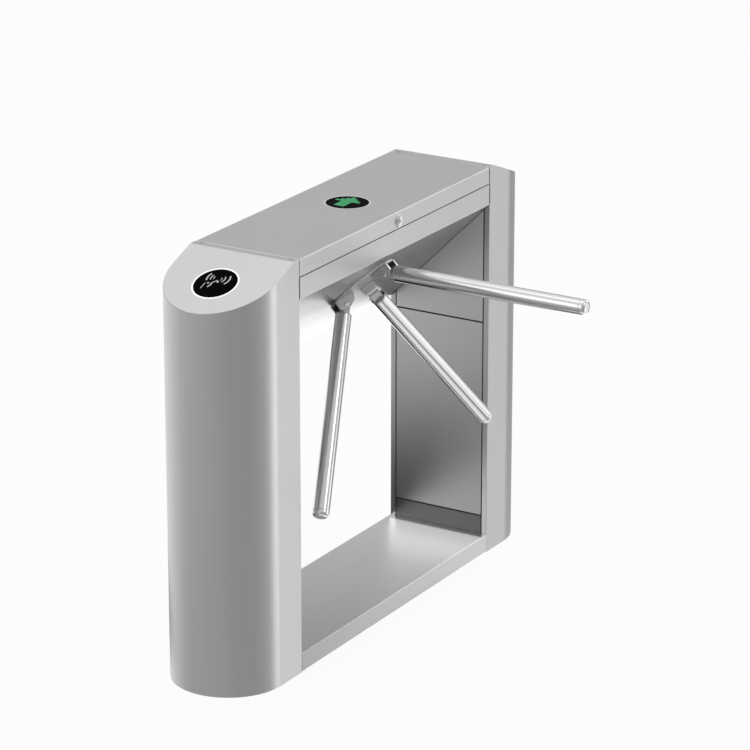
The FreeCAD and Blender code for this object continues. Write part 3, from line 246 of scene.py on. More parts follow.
def column_shell(side):
    """The folded and rolled sheet of one column, with its strip and facet."""
    low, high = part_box("column_right")
    inner, half, top = low.x, high.y, high.z
    seam = (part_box("door_right")[0].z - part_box("kick_plate_right")[1].z) / 2
    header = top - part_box("upper_panel_right")[1].z - seam
    centre = high.x - half
    made = bmesh.new()
    profile = [(inner + SHEET, -half + RETURN + LEDGE), (inner + SHEET, -half + RETURN),
               (inner, -half + RETURN), (inner, -half), (centre, -half)]
    row = [made.verts.new((x, y, 0)) for x, y in profile]
    for pair in zip(row, row[1:]):
        made.edges.new(pair)
    bmesh.ops.spin(made, geom=[row[-1]], cent=(centre, 0, 0), axis=(0, 0, 1),
                   angle=math.pi, steps=64, use_merge=False)
    made.verts.ensure_lookup_table()
    last = max((vert for vert in made.verts if vert.co.y > half - NEAR),
               key=lambda vert: vert.co.y)
    tail = [last] + [made.verts.new((x, -y, 0)) for x, y in reversed(profile[:-1])]
    for pair in zip(tail, tail[1:]):
        made.edges.new(pair)
    drawn = bmesh.ops.extrude_edge_only(made, edges=made.edges[:])
    moved = [item for item in drawn["geom"] if isinstance(item, bmesh.types.BMVert)]
    bmesh.ops.translate(made, vec=(0, 0, top), verts=moved)
    crease = inner + STRIP
    bmesh.ops.bisect_plane(made, geom=made.verts[:] + made.edges[:] + made.faces[:],
                           plane_co=(crease, 0, top), plane_no=(math.sin(FACET), 0, math.cos(FACET)),
                           clear_outer=True)
    made.verts.ensure_lookup_table()

    def at(x, y, z):
        return min(made.verts, key=lambda vert: (vert.co - Vector((x, y, z))).length)

    rim = [edge for edge in made.edges
           if edge.is_boundary and all(vert.co.x > crease - NEAR
                                       and abs((vert.co.x - crease) * math.sin(FACET)
                                               + (vert.co.z - top) * math.cos(FACET)) < NEAR
                                       for vert in edge.verts)]
    front, back = at(crease, -half, top), at(crease, half, top)
    fold = made.edges.new((front, back))
    made.faces.new(ordered_loop(rim + [fold]))
    strip = [at(inner, -half, top), at(inner, -half + RETURN, top),
             at(inner, half - RETURN, top), at(inner, half, top), back, front]
    made.faces.new(strip)
    header_edge = made.edges.get((strip[1], strip[2]))
    pulled = bmesh.ops.extrude_edge_only(made, edges=[header_edge])
    dropped = [item for item in pulled["geom"] if isinstance(item, bmesh.types.BMVert)]
    bmesh.ops.translate(made, vec=(0, 0, -header), verts=dropped)
    face_out(made, (high.x, 0, top / 3), (1, 0, 0))
    round_folds(made, COLUMN_FOLD)
    thicken(made, SHEET)
    if side == "left":
        bmesh.ops.rotate(made, cent=(0, 0, 0), matrix=Matrix.Rotation(math.pi, 3, "Z"),
                         verts=made.verts[:])
    return made


for side in ("left", "right"):
    finished(column_shell(side), "column_shell_" + side, column_steel, "cabinet",
             ["column_" + side])

# ---------------------------------------------------------------------------
# Inner panels of the columns: kick plate, service door and upper panel. Flat
# sheets let in behind the folded edges, with an open seam round each.
# ---------------------------------------------------------------------------
PANEL_EDGE = 0.0005
panel_steel = hairline_steel("panel_steel", 0.88, 0.36, 2)
# painted shade: the door and upper panel grey darkens towards the floor, to 0.52 at the bottom
painted_shade_along(panel_steel, 2, (0.1, 0.52), (0.75, 1.0))
kick_steel = hairline_steel("kick_plate_steel", 0.18, 0.4, 1)
for side in ("left", "right"):
    for kind in ("kick_plate", "door", "upper_panel"):
        low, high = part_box("%s_%s" % (kind, side))
        made = bmesh.new()
        bmesh.ops.create_cube(made, size=1.0)
        bmesh.ops.scale(made, vec=high - low, verts=made.verts[:])
        bmesh.ops.translate(made, vec=(low + high) / 2, verts=made.verts[:])
        bmesh.ops.bevel(made, geom=made.edges[:], offset=PANEL_EDGE, offset_type="OFFSET",
                        segments=2, profile=0.5, affect="EDGES", material=-1)
        finished(made, "%s_sheet_%s" % (kind, side),
                 kick_steel if kind == "kick_plate" else panel_steel,
                 "cabinet", ["%s_%s" % (kind, side)])

# ---------------------------------------------------------------------------
# Head shell. One sheet folded five times: rim, fascia, sloped mechanism face
# with the round opening for the hub, back wall and rim again.
# ---------------------------------------------------------------------------
head_steel = hairline_steel("head_steel", 0.66, 0.33, 0)
head_low, head_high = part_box("head_shell")
FASCIA_FOOT = 0.888
HEAD_RIM = 0.018
HEAD_FOLD = 0.0015
HUB_TILT = 135
OPENING = 0.0945
FOLD_SHADE_SHARE = 0.62
# painted shade: the sloped face's grey falls towards the fascia fold; the second ramp gives the fascia its full
# grey back
painted_shade_along(head_steel, 1, (-0.133, FOLD_SHADE_SHARE), (0.0, 0.92))
painted_shade_along(head_steel, 1, (-0.1355, 1 / FOLD_SHADE_SHARE), (-0.134, 1.0))
hub_pos = next(Vector(joint["pos_m"]) for joint in frame["joints"] if joint["name"] == "hub_turn")
hub_out = next(Vector(joint["axis"]) for joint in frame["joints"] if joint["name"] == "hub_turn")
hub_frame = Matrix.Translation(hub_pos) @ Matrix.Rotation(math.radians(HUB_TILT), 4, "X")
head = sheet_run(((head_low.y + HEAD_RIM, head_high.z),
                  (head_low.y, head_high.z),
                  (head_low.y, FASCIA_FOOT),
                  (head_high.y, head_low.z),
                  (head_high.y, head_high.z),
                  (head_high.y - HEAD_RIM, head_high.z)),
                 head_low.x, head_high.x)
face_out(head, (0, head_low.y, (FASCIA_FOOT + head_high.z) / 2), (0, -1, 0))
slope = next(face for face in head.faces if abs(face.normal.dot(hub_out)) > 0.99)
slope_edges = slope.edges[:]
bmesh.ops.delete(head, geom=[slope], context="FACES_ONLY")
opening = bmesh.ops.create_circle(head, cap_ends=False, segments=96, radius=OPENING,
                                  matrix=hub_frame)
ring_edges = list({edge for vert in opening["verts"] for edge in vert.link_edges})
bmesh.ops.triangle_fill(head, use_beauty=True, use_dissolve=False, edges=slope_edges + ring_edges,
                        normal=hub_out)
face_out(head, (0, head_low.y, (FASCIA_FOOT + head_high.z) / 2), (0, -1, 0))
round_folds(head, HEAD_FOLD)
thicken(head, SHEET)
finished(head, "head_sheet", head_steel, "cabinet", ["head_shell"])

# ---------------------------------------------------------------------------
# Seals. Black rubber lies in the seams: between each column and the end of the
# head and lid, beside and between the inner panels, and under the lid's skirt.
# Its black is also painted shade, standing in for the shade in these open seams.
# ---------------------------------------------------------------------------
def plain_finish(name, colour, metallic, roughness, scale, depth=0.06):
    """A workshop finish with a fine mottled surface."""
    made = bpy.data.materials.new(name)
    made.use_nodes = True
    tree = made.node_tree
    skin = tree.nodes["Principled BSDF"]
    skin.inputs["Metallic"].default_value = metallic
    place = tree.nodes.new("ShaderNodeTexCoord")
    speck = tree.nodes.new("ShaderNodeTexNoise")
    speck.inputs["Scale"].default_value = scale
    speck.inputs["Detail"].default_value = 4.0
    ramp = tree.nodes.new("ShaderNodeValToRGB")
    ramp.color_ramp.elements[0].color = (*[part * 0.85 for part in colour], 1)
    ramp.color_ramp.elements[1].color = (*[min(1, part * 1.12) for part in colour], 1)
    shine = tree.nodes.new("ShaderNodeMapRange")
    shine.inputs["To Min"].default_value = roughness - 0.06
    shine.inputs["To Max"].default_value = roughness + 0.06
    relief = tree.nodes.new("ShaderNodeBump")
    relief.inputs["Strength"].default_value = depth
    relief.inputs["Distance"].default_value = 0.0004
    link = tree.links.new
    link(place.outputs["Object"], speck.inputs["Vector"])
    link(speck.outputs["Fac"], ramp.inputs["Fac"])
    link(speck.outputs["Fac"], shine.inputs["Value"])
    link(speck.outputs["Fac"], relief.inputs["Height"])
    link(ramp.outputs["Color"], skin.inputs["Base Color"])
    link(shine.outputs["Result"], skin.inputs["Roughness"])
    link(relief.outputs["Normal"], skin.inputs["Normal"])
    return made


# gaps: beside a seal, under one that lies on the sheet, and at a seal's ends
PLAY = 0.0001
TOUCH = 0.00002
END_GAP = 0.0015
SEAM_START = 0.001
FLOOR_GAP = 0.003
# how far the seals stand out of the sheet, and how far they lap over its edges
SEAL_PROUD = 0.0004
COVER_PROUD = 0.0003
LIP = 0.0007
LAP_HEAD = 0.0014
LAP_COLUMN = 0.0012
# depths of the rubber in its seams, and the cross strips' half height
SEAM_FRONT = 0.0004
SEAM_BACK = 0.004
GROOVE_FRONT = 0.0012
GROOVE_BACK = 0.0019
CROSS_HALF = 0.0019
GASKET_UNDER = 0.0011
GASKET_DEPTH = 0.006
# width, length and thickness of the strip beside the sloped face
FACE_SEAL = (0.0018, 0.372, 0.0006)
# the black rubber also stands in for the shade in the open seams (painted shade)
seal_rubber_and_seam_shade = plain_finish("seal_rubber_and_seam_shade", (0.012, 0.012, 0.012), 0.0, 0.7, 260, 0.1)
column_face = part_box("column_right")[0].x
head_end = head_high.x
lid_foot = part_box("lid")[0].z
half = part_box("column_right")[1].y
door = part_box("door_right")
kick_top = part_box("kick_plate_right")[1].z
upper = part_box("upper_panel_right")
ledge = half - RETURN - LEDGE


def rubber_strip(made, sign, low, high):
    """A strip between two corners, mirrored to the left end by its sign."""
    strip = bmesh.ops.create_cube(made, size=1.0)["verts"]
    low, high = Vector(low), Vector(high)
    bmesh.ops.scale(made, vec=high - low, verts=strip)
    bmesh.ops.translate(made, vec=(low + high) / 2, verts=strip)
    bmesh.ops.scale(made, vec=(sign, 1, 1), verts=strip)


for side, sign in (("left", -1), ("right", 1)):
    seals = bmesh.new()
    front = head_low.y
    rubber_strip(seals, sign, (head_end + PLAY, front + SEAM_FRONT, FASCIA_FOOT + SEAM_START),
                 (column_face - PLAY, front + SEAM_BACK, cad_high.z - END_GAP))
    rubber_strip(seals, sign, (head_end - LAP_HEAD, front - COVER_PROUD, FASCIA_FOOT + END_GAP),
                 (column_face + LAP_COLUMN, front - TOUCH, head_high.z - END_GAP))
    face_seal = bmesh.ops.create_cube(seals, size=1.0)["verts"]
    bmesh.ops.scale(seals, vec=FACE_SEAL, verts=face_seal)
    lie = (Matrix.Translation((sign * (column_face - LAP_HEAD), 0, (FASCIA_FOOT + head_low.z) / 2))
           @ Matrix.Rotation(math.radians(-45), 4, "X")
           @ Matrix.Translation((0, 0, -FACE_SEAL[2] / 2 - TOUCH)))
    bmesh.ops.transform(seals, matrix=lie, verts=face_seal)
    groove = column_face + GROOVE_FRONT, column_face + GROOVE_BACK
    for edge in (-1, 1):
        ends = sorted((edge * (half - RETURN - PLAY), edge * (door[1].y + PLAY)))
        rubber_strip(seals, sign, (groove[0], ends[0], FLOOR_GAP), (groove[1], ends[1], upper[1].z))
        rubber_strip(seals, sign, (column_face - SEAL_PROUD, ends[0] - LIP, FLOOR_GAP),
                     (column_face - TOUCH, ends[1] + LIP, upper[1].z))
        ends = sorted((edge * door[1].y, edge * ledge))
        for low, high in ((kick_top, door[0].z), (door[1].z, upper[0].z)):
            rubber_strip(seals, sign, (groove[0], ends[0], low + PLAY),
                         (groove[1], ends[1], high - PLAY))
    for level in ((kick_top + door[0].z) / 2, (door[1].z + upper[0].z) / 2):
        rubber_strip(seals, sign, (column_face - COVER_PROUD, -door[1].y, level - CROSS_HALF),
                     (column_face - TOUCH, door[1].y, level + CROSS_HALF))
    bmesh.ops.recalc_face_normals(seals, faces=seals.faces[:])
    bmesh.ops.bevel(seals, geom=seals.edges[:], offset=0.0001, offset_type="OFFSET",
                    segments=1, profile=0.5, affect="EDGES", material=-1)
    finished(seals, "seam_seals_and_shade_" + side, seal_rubber_and_seam_shade, "cabinet")
# black strip in the lid seam, which also stands in for the shade there (painted shade)
gasket = bmesh.new()
rubber_strip(gasket, 1, (-head_end, head_low.y + PLAY, head_high.z - GASKET_UNDER),
             (head_end, head_low.y + GASKET_DEPTH, lid_foot - PLAY))
bmesh.ops.recalc_face_normals(gasket, faces=gasket.faces[:])
bmesh.ops.bevel(gasket, geom=gasket.edges[:], offset=0.0002, offset_type="OFFSET",
                segments=1, profile=0.5, affect="EDGES", material=-1)
finished(gasket, "lid_gasket_and_seam_shade", seal_rubber_and_seam_shade, "cabinet")

# ---------------------------------------------------------------------------
# Lid. A shallow tray of the same sheet, its corners closed and its folds
# rounded, lying over the head's rim with an open seam below the skirt.
# ---------------------------------------------------------------------------
LID_FOLD = 0.0024
lid_low, lid_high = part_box("lid")
lid_steel = hairline_steel("lid_steel", 0.66, 0.34, 0)
lid = bmesh.new()
bmesh.ops.create_cube(lid, size=1.0)
bmesh.ops.scale(lid, vec=lid_high - lid_low, verts=lid.verts[:])
bmesh.ops.translate(lid, vec=(lid_low + lid_high) / 2, verts=lid.verts[:])
underside = [face for face in lid.faces if face.normal.z < -0.9]
bmesh.ops.delete(lid, geom=underside, context="FACES")
round_folds(lid, LID_FOLD)
thicken(lid, SHEET)
finished(lid, "lid_tray", lid_steel, "lid", ["lid"])

# ---------------------------------------------------------------------------
# Badge readers and status indicator. Each has a frosted light ring seated on
# the sheet and a black glass window with its symbol printed or lit behind it.
# ---------------------------------------------------------------------------
WINDOW = 0.050
RIM = 0.004
PROUD = 0.001
RING_PLAY = 0.0002
GLASS_SEAT = 0.0012
GLASS_FACE = 0.0008
PRINT = 0.00008
READER_REACH = 0.115

ring_plastic = plain_finish("frosted_ring", (0.9, 0.91, 0.91), 0.0, 0.35, 180, 0.03)
frost = ring_plastic.node_tree.nodes["Principled BSDF"]
frost.inputs["Emission Color"].default_value = (1, 1, 1, 1)
frost.inputs["Emission Strength"].default_value = 0.4
frost.inputs["Subsurface Weight"].default_value = 0.1

indicator_ring_plastic = plain_finish("indicator_frosted_ring", (0.72, 0.73, 0.74), 0.0, 0.35,
                                      180, 0.03)
black_glass = plain_finish("black_glass", (0.003, 0.003, 0.0032), 0.0, 0.08, 25, 0.0)
pane = black_glass.node_tree.nodes["Principled BSDF"]
pane.inputs["IOR"].default_value = 1.45
pane.inputs["Specular IOR Level"].default_value = 0.003

print_white = plain_finish("printed_symbol", (0.60, 0.61, 0.62), 0.0, 0.5, 700, 0.05)
led_green = plain_finish("lit_green_dot", (0.03, 0.3, 0.12), 0.0, 0.4, 350, 0.03)
glow = led_green.node_tree.nodes["Principled BSDF"]
glow.inputs["Emission Color"].default_value = (0.07, 0.58, 0.23, 1)
glow.inputs["Emission Strength"].default_value = 0.75


def turned(profile, steps=96):
    """A solid of revolution about Z from an outline of (radius, height)."""
    made = bmesh.new()
    row = [made.verts.new((radius, 0, height)) for radius, height in profile]
    edges = [made.edges.new(pair) for pair in zip(row, row[1:])]
    bmesh.ops.spin(made, geom=row + edges, cent=(0, 0, 0), axis=(0, 0, 1),
                   angle=2 * math.pi, steps=steps, use_merge=True)
    bmesh.ops.remove_doubles(made, verts=made.verts[:], dist=1e-7)
    bmesh.ops.recalc_face_normals(made, faces=made.faces[:])
    return made


def set_down(made, matrix):
    """Turn a mesh and put it in its place on the machine."""
    bmesh.ops.transform(made, matrix=matrix, verts=made.verts[:])
    return made


def arc_bar(made, middle, radius, thick, start, stop):
    """A printed arc: a small square section swept round a centre."""
    near, far = radius - thick / 2, radius + thick / 2
    corners = [made.verts.new((middle[0] + reach * math.cos(start),
                               middle[1] + reach * math.sin(start), level))
               for reach, level in ((near, GLASS_FACE), (far, GLASS_FACE),
                                    (far, GLASS_FACE + PRINT), (near, GLASS_FACE + PRINT))]
    face = made.faces.new(corners)
    bmesh.ops.spin(made, geom=[face], cent=(middle[0], middle[1], GLASS_FACE),
                   axis=(0, 0, 1), angle=stop - start, steps=14, use_merge=False)


def printed_bar(made, start, stop, thick):
    """A straight printed bar between two points."""
    reach = Vector(stop) - Vector(start)
    bar = bmesh.ops.create_cube(made, size=1.0)["verts"]
    turn = Matrix.Rotation(math.atan2(reach.y, reach.x), 4, "Z")
    middle = (Vector(start) + Vector(stop)) / 2
    shape = (Matrix.Translation((middle.x, middle.y, GLASS_FACE + PRINT / 2)) @ turn
             @ Matrix.Diagonal((reach.length, thick, PRINT, 1)))
    bmesh.ops.transform(made, matrix=shape, verts=bar)


def window_and_ring(tag, matrix, body, ring_material, ring_node, window_node):
    """A round glass window with the light ring about it, set down in its place."""
    ring = turned(((WINDOW + RING_PLAY, 0.0), (WINDOW + RIM, 0.0), (WINDOW + RIM, PROUD * 0.55),
                   (WINDOW + RIM - 0.0005, PROUD * 0.95), (WINDOW + RIM - 0.001, PROUD),
                   (WINDOW + 0.0008, PROUD), (WINDOW + RING_PLAY, PROUD * 0.7),
                   (WINDOW + RING_PLAY, 0.0)))
    finished(set_down(ring, matrix), tag + "_light_ring", ring_material, body,
             [ring_node])
    glass = turned(((0.0, -GLASS_SEAT), (WINDOW, -GLASS_SEAT), (WINDOW, 0.0004),
                    (WINDOW - 0.0006, 0.0007), (WINDOW - 0.0014, GLASS_FACE), (0.0, GLASS_FACE)))
    finished(set_down(glass, matrix), tag + "_glass", black_glass, body,
             [window_node])


cabinet_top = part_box("column_right")[1].z
for side, sign in (("left", -1), ("right", 1)):
    facet_top = Vector((sign * (column_face + STRIP), 0, cabinet_top))
    down = Vector((sign * math.cos(FACET), 0, -math.sin(FACET)))
    seat = (Matrix.Translation(facet_top + down * READER_REACH)
            @ Matrix.Rotation(sign * FACET, 4, "Y")
            @ Matrix.Rotation(0 if sign < 0 else math.pi, 4, "Z"))
    window_and_ring("reader_" + side, seat, "cabinet", ring_plastic,
                    "reader_ring_" + side, "reader_window_" + side)
    # printed symbol: waves to both sides of a hand that holds a card; its X runs
    # up the facet and its Y to the back, and the waves open round one centre
    symbol = bmesh.new()
    waves = ((90, 0.0130, 21, 0.0018), (90, 0.0200, 24, 0.0027), (90, 0.0290, 25, 0.0034),
             (270, 0.0068, 46, 0.0018), (270, 0.0143, 41, 0.0027), (270, 0.0253, 35, 0.0034))
    for heading, radius, span, thick in waves:
        arc_bar(symbol, (0.017, 0.0), radius, thick,
                math.radians(heading - span), math.radians(heading + span))
    for start, stop, thick in (((-0.0247, 0.0243), (-0.0045, 0.0238), 0.0019),
                               ((-0.0157, 0.0118), (-0.0080, 0.0080), 0.0034),
                               ((-0.0090, 0.0080), (-0.0015, 0.0093), 0.0034),
                               ((-0.0020, 0.0095), (0.0050, 0.0054), 0.0030),
                               ((0.0045, 0.0058), (0.0076, 0.0010), 0.0026),
                               ((0.0100, 0.0028), (0.0040, -0.0050), 0.0040)):
        printed_bar(symbol, start, stop, thick)
    bmesh.ops.create_circle(symbol, cap_ends=True, segments=16, radius=0.0024,
                            matrix=Matrix.Translation((-0.0031, 0.0170, GLASS_FACE + PRINT)))
    finished(set_down(symbol, seat), "reader_symbol_" + side, print_white, "cabinet")

indicator_seat = Matrix.Translation((0, 0, cabinet_top))
window_and_ring("indicator", indicator_seat, "lid", indicator_ring_plastic, "indicator_ring",
                "indicator_window")
# arrow pointing along +X, in square steps of two by two round diodes
DOT_STEP = 0.0092
DOT_RADIUS = 0.0021
arrow = bmesh.new()
for column in range(-4, 4):
    reach = 1 if column < 0 else 3 - column
    for line in range(-reach, reach + 1):
        for across in (-0.25, 0.25):
            for up in (-0.25, 0.25):
                spot = Matrix.Translation(((column + across + 1) * DOT_STEP,
                                           (line + up + 0.5) * DOT_STEP, GLASS_FACE))
                bmesh.ops.create_cone(arrow, cap_ends=True, cap_tris=False, segments=10,
                                      radius1=DOT_RADIUS, radius2=DOT_RADIUS * 0.7, depth=0.0003,
                                      matrix=spot)
finished(set_down(arrow, indicator_seat), "indicator_arrow", led_green, "lid",
         smooth=20)

# ---------------------------------------------------------------------------
# Cam lock in the lid's skirt: polished rosette and plug with a key slot.
# ---------------------------------------------------------------------------
lock_chrome = plain_finish("lock_chrome", (0.74, 0.74, 0.74), 1.0, 0.16, 220, 0.02)
lock_pos = next(Vector(joint["pos_m"]) for joint in frame["joints"] if joint["name"] == "lock_turn")
lock_seat = Matrix.Translation(lock_pos) @ Matrix.Rotation(math.radians(90), 4, "X")
LOCK_BORE = 0.0064
LOCK_SHANK = 0.0095
LOCK_LENGTH = 0.0195
LOCK_RIM = 0.0155
rosette = turned(((LOCK_BORE, 0.0), (LOCK_BORE, 0.0014), (0.0070, 0.0018), (0.0090, 0.0020),
                  (0.0098, 0.0010), (0.0106, 0.0010), (0.0114, 0.0023), (0.0132, 0.0025),
                  (0.0148, 0.0018), (LOCK_RIM, 0.0006), (LOCK_RIM, 0.0),
                  (LOCK_SHANK, 0.0), (LOCK_SHANK, -LOCK_LENGTH), (LOCK_BORE, -LOCK_LENGTH),
                  (LOCK_BORE, 0.0)), 48)
finished(set_down(rosette, lock_seat), "lock_rosette", lock_chrome, "lid",
         ["lock_body"])

# ---------------------------------------------------------------------------
# Turning disc of the hub, let into the sloped face, with its clevises: each is
# a machined fork with two ears, and the arm's root turns on a pin between them.
# ---------------------------------------------------------------------------
DISC_RADIUS = 0.092
DISC_FACE = 0.004
satin_steel = hairline_steel("satin_hub_steel", 0.62, 0.28, 1, streak=0.015)
hub_disc = turned(((0.0, -0.001), (DISC_RADIUS, -0.001), (DISC_RADIUS, DISC_FACE - 0.001),
                   (DISC_RADIUS - 0.0003, DISC_FACE - 0.0004), (DISC_RADIUS - 0.001, DISC_FACE),
                   (0.0, DISC_FACE)), 128)
finished(set_down(hub_disc, hub_frame), "hub_turning_disc", satin_steel, "hub",
         ["hub_disc"])

PIN_REACH = 0.105
APEX = 0.0532
pin_out = PIN_REACH * math.cos(math.pi / 4)
pin_rise = PIN_REACH * math.cos(math.pi / 4) - APEX
EAR_GAP = 0.026
EAR = 0.006
EAR_OUTER = 0.0207
EAR_INNER = 0.032
EAR_ABOVE = 0.0099
EAR_SHOULDER = 0.025
SHOULDER_DROP = 0.010
EAR_EDGE = 0.0008
EAR_WEB = 0.0026


def clevis_plate(made, outline, near, far):
    """One plate of a fork: an outline in (outwards, upwards) drawn out across it."""
    flat = made.faces.new([made.verts.new((near, v, w)) for v, w in outline])
    grown = bmesh.ops.extrude_face_region(made, geom=[flat])
    moved = [item for item in grown["geom"] if isinstance(item, bmesh.types.BMVert)]
    bmesh.ops.translate(made, vec=(far - near, 0, 0), verts=moved)


def clevis_fork():
    """Both ears, the heel between them and their base, standing on the disc."""
    made = bmesh.new()
    foot, top = DISC_FACE, pin_rise + EAR_ABOVE
    shoulder = (pin_out - EAR_SHOULDER, top - SHOULDER_DROP)
    outline = [(pin_out - EAR_INNER, foot), (pin_out + EAR_OUTER, foot)]
    for degrees in range(0, 91, 10):
        turn = math.radians(degrees)
        outline.append((pin_out + EAR_OUTER - EAR_ABOVE + EAR_ABOVE * math.cos(turn),
                        top - EAR_ABOVE + EAR_ABOVE * math.sin(turn)))
    outline += [(pin_out - 0.0052, top), (pin_out - 0.0079, top - 0.0004),
                (pin_out - 0.0104, top - 0.0015), shoulder, (pin_out - EAR_INNER, foot + 0.006)]
    for near, far in ((-EAR_GAP / 2 - EAR, -EAR_GAP / 2), (EAR_GAP / 2, EAR_GAP / 2 + EAR)):
        clevis_plate(made, outline, near, far)
    bmesh.ops.recalc_face_normals(made, faces=made.faces[:])
    sharp = [edge for edge in made.edges if edge.calc_face_angle(0) > math.radians(40)]
    bmesh.ops.bevel(made, geom=sharp, offset=EAR_EDGE, offset_type="OFFSET", segments=2,
                    profile=0.5, affect="EDGES", material=-1)
    heel = ((pin_out - 0.0315, foot), (pin_out - 0.0124, foot),
            (pin_out - 0.0124, pin_rise - 0.0051), (pin_out - 0.0202, pin_rise + 0.0020),
            (shoulder[0], shoulder[1] - 0.0008), (pin_out - 0.0315, foot + 0.0055))
    base = ((pin_out - 0.0130, foot), (pin_out + 0.0202, foot),
            (pin_out + 0.0202, foot + EAR_WEB), (pin_out - 0.0130, foot + EAR_WEB))
    for filler in (heel, base):
        clevis_plate(made, filler, -EAR_GAP / 2 - 0.001, EAR_GAP / 2 + 0.001)
    bmesh.ops.recalc_face_normals(made, faces=made.faces[:])
    return made


root_steel = hairline_steel("arm_root_steel", 0.58, 0.3, 2, streak=0.015)
tube_steel = hairline_steel("arm_tube_steel", 0.74, 0.18, 1, streak=0.01)
cap_steel = hairline_steel("arm_cap_steel", 0.74, 0.26, 1, streak=0.01)
for polished in (tube_steel, cap_steel):
    polished.node_tree.nodes["Bump"].inputs["Strength"].default_value = 0.03
ARM_TURNS = {"a": 0, "b": -120, "c": 120}
arm_seats = {}
for tag, degrees in ARM_TURNS.items():
    around = hub_frame @ Matrix.Rotation(math.radians(degrees), 4, "Z")
    finished(set_down(clevis_fork(), around), "clevis_fork_" + tag, satin_steel, "hub",
             ["clevis_" + tag], smooth=35)
    along = (around @ Matrix.Translation((0, pin_out, pin_rise))
             @ Matrix.Rotation(math.radians(-45), 4, "X"))
    arm_seats[tag] = along

pins = bmesh.new()
PIN_RADIUS = 0.005
pin_end = EAR_GAP / 2 + EAR
head_profile = ((0.0, 0.0018), (0.0052, 0.0018), (0.0061, 0.0014), (0.0065, 0.0008), (0.0065, 0.0),
                (PIN_RADIUS, 0.0))
for along in arm_seats.values():
    pin = turned([(radius, pin_end + rise) for radius, rise in head_profile]
                 + [(radius, -pin_end - rise) for radius, rise in reversed(head_profile)], 32)
    set_down(pin, along @ Matrix.Rotation(math.radians(90), 4, "Y"))
    joined = bpy.data.meshes.new("pin_part")
    pin.to_mesh(joined)
    pin.free()
    pins.from_mesh(joined)
    bpy.data.meshes.remove(joined)
finished(pins, "clevis_pins", lock_chrome, "hub", ["arm_pins"])

# ---------------------------------------------------------------------------
# Arms. A solid root on the pin with a collar, a polished stainless tube of
# 38 mm and a rounded cap with a fine seam.
# ---------------------------------------------------------------------------
TUBE = 0.019
BORE = 0.017
SPIGOT = 0.0168
SPIGOT_LENGTH = 0.036
COLLAR = 0.020
COLLAR_LENGTH = 0.003
TUBE_LENGTH = 0.477
SEAM = 0.0004
KNUCKLE = 0.011
KNUCKLE_PLAY = 0.0003
CAP_ROUND = 0.009
CAP_SHOULDER = 0.006
CAP_PLUG = 0.018
for tag, along in arm_seats.items():
    root = bmesh.new()
    half = EAR_GAP / 2 - KNUCKLE_PLAY
    outline = []
    for degrees in range(180, 361, 12):
        turn = math.radians(degrees)
        outline.append((KNUCKLE * math.cos(turn), KNUCKLE * math.sin(turn)))
    outline += [(KNUCKLE, COLLAR), (-KNUCKLE, COLLAR)]
    side_face = root.faces.new([root.verts.new((-half, y, z)) for y, z in outline])
    grown = bmesh.ops.extrude_face_region(root, geom=[side_face])
    moved = [item for item in grown["geom"] if isinstance(item, bmesh.types.BMVert)]
    bmesh.ops.translate(root, vec=(half * 2, 0, 0), verts=moved)
    bmesh.ops.recalc_face_normals(root, faces=root.faces[:])
    sharp = [edge for edge in root.edges if edge.calc_face_angle(0) > math.radians(40)]
    bmesh.ops.bevel(root, geom=sharp, offset=EAR_EDGE, offset_type="OFFSET", segments=2,
                    profile=0.5, affect="EDGES", material=-1)
    collar_end = COLLAR + COLLAR_LENGTH
    collar = turned(((0.0, COLLAR), (TUBE - 0.0006, COLLAR), (TUBE, COLLAR + 0.0006),
                     (TUBE, collar_end - SEAM), (TUBE - SEAM, collar_end),
                     (SPIGOT, collar_end), (SPIGOT, collar_end + SPIGOT_LENGTH),
                     (0.0, collar_end + SPIGOT_LENGTH)))
    part = bpy.data.meshes.new("collar_part")
    collar.to_mesh(part)
    collar.free()
    root.from_mesh(part)
    bpy.data.meshes.remove(part)
    finished(set_down(root, along), "arm_root_block_" + tag, root_steel, "arm_" + tag,
             ["arm_root_" + tag], smooth=35)

    start = collar_end + SEAM
    end = start + TUBE_LENGTH
    tube = turned(((BORE, start), (TUBE - SEAM, start), (TUBE, start + SEAM),
                   (TUBE, end - SEAM), (TUBE - SEAM, end), (BORE, end), (BORE, start)))
    finished(set_down(tube, along), "arm_tube_" + tag + "_polished", tube_steel, "arm_" + tag,
             ["arm_tube_" + tag])
    dome_start = end + SEAM
    profile = [(0.0, end - CAP_PLUG), (SPIGOT, end - CAP_PLUG), (SPIGOT, dome_start),
               (TUBE - SEAM, dome_start), (TUBE, dome_start + SEAM)]
    for degrees in range(0, 91, 9):
        turn = math.radians(degrees)
        profile.append((TUBE - CAP_ROUND + CAP_ROUND * math.cos(turn),
                        dome_start + CAP_SHOULDER + CAP_ROUND * math.sin(turn)))
    profile.append((0.0, dome_start + CAP_SHOULDER + CAP_ROUND))
    finished(set_down(turned(profile), along), "arm_cap_" + tag + "_rounded", cap_steel,
             "arm_" + tag, ["arm_cap_" + tag])

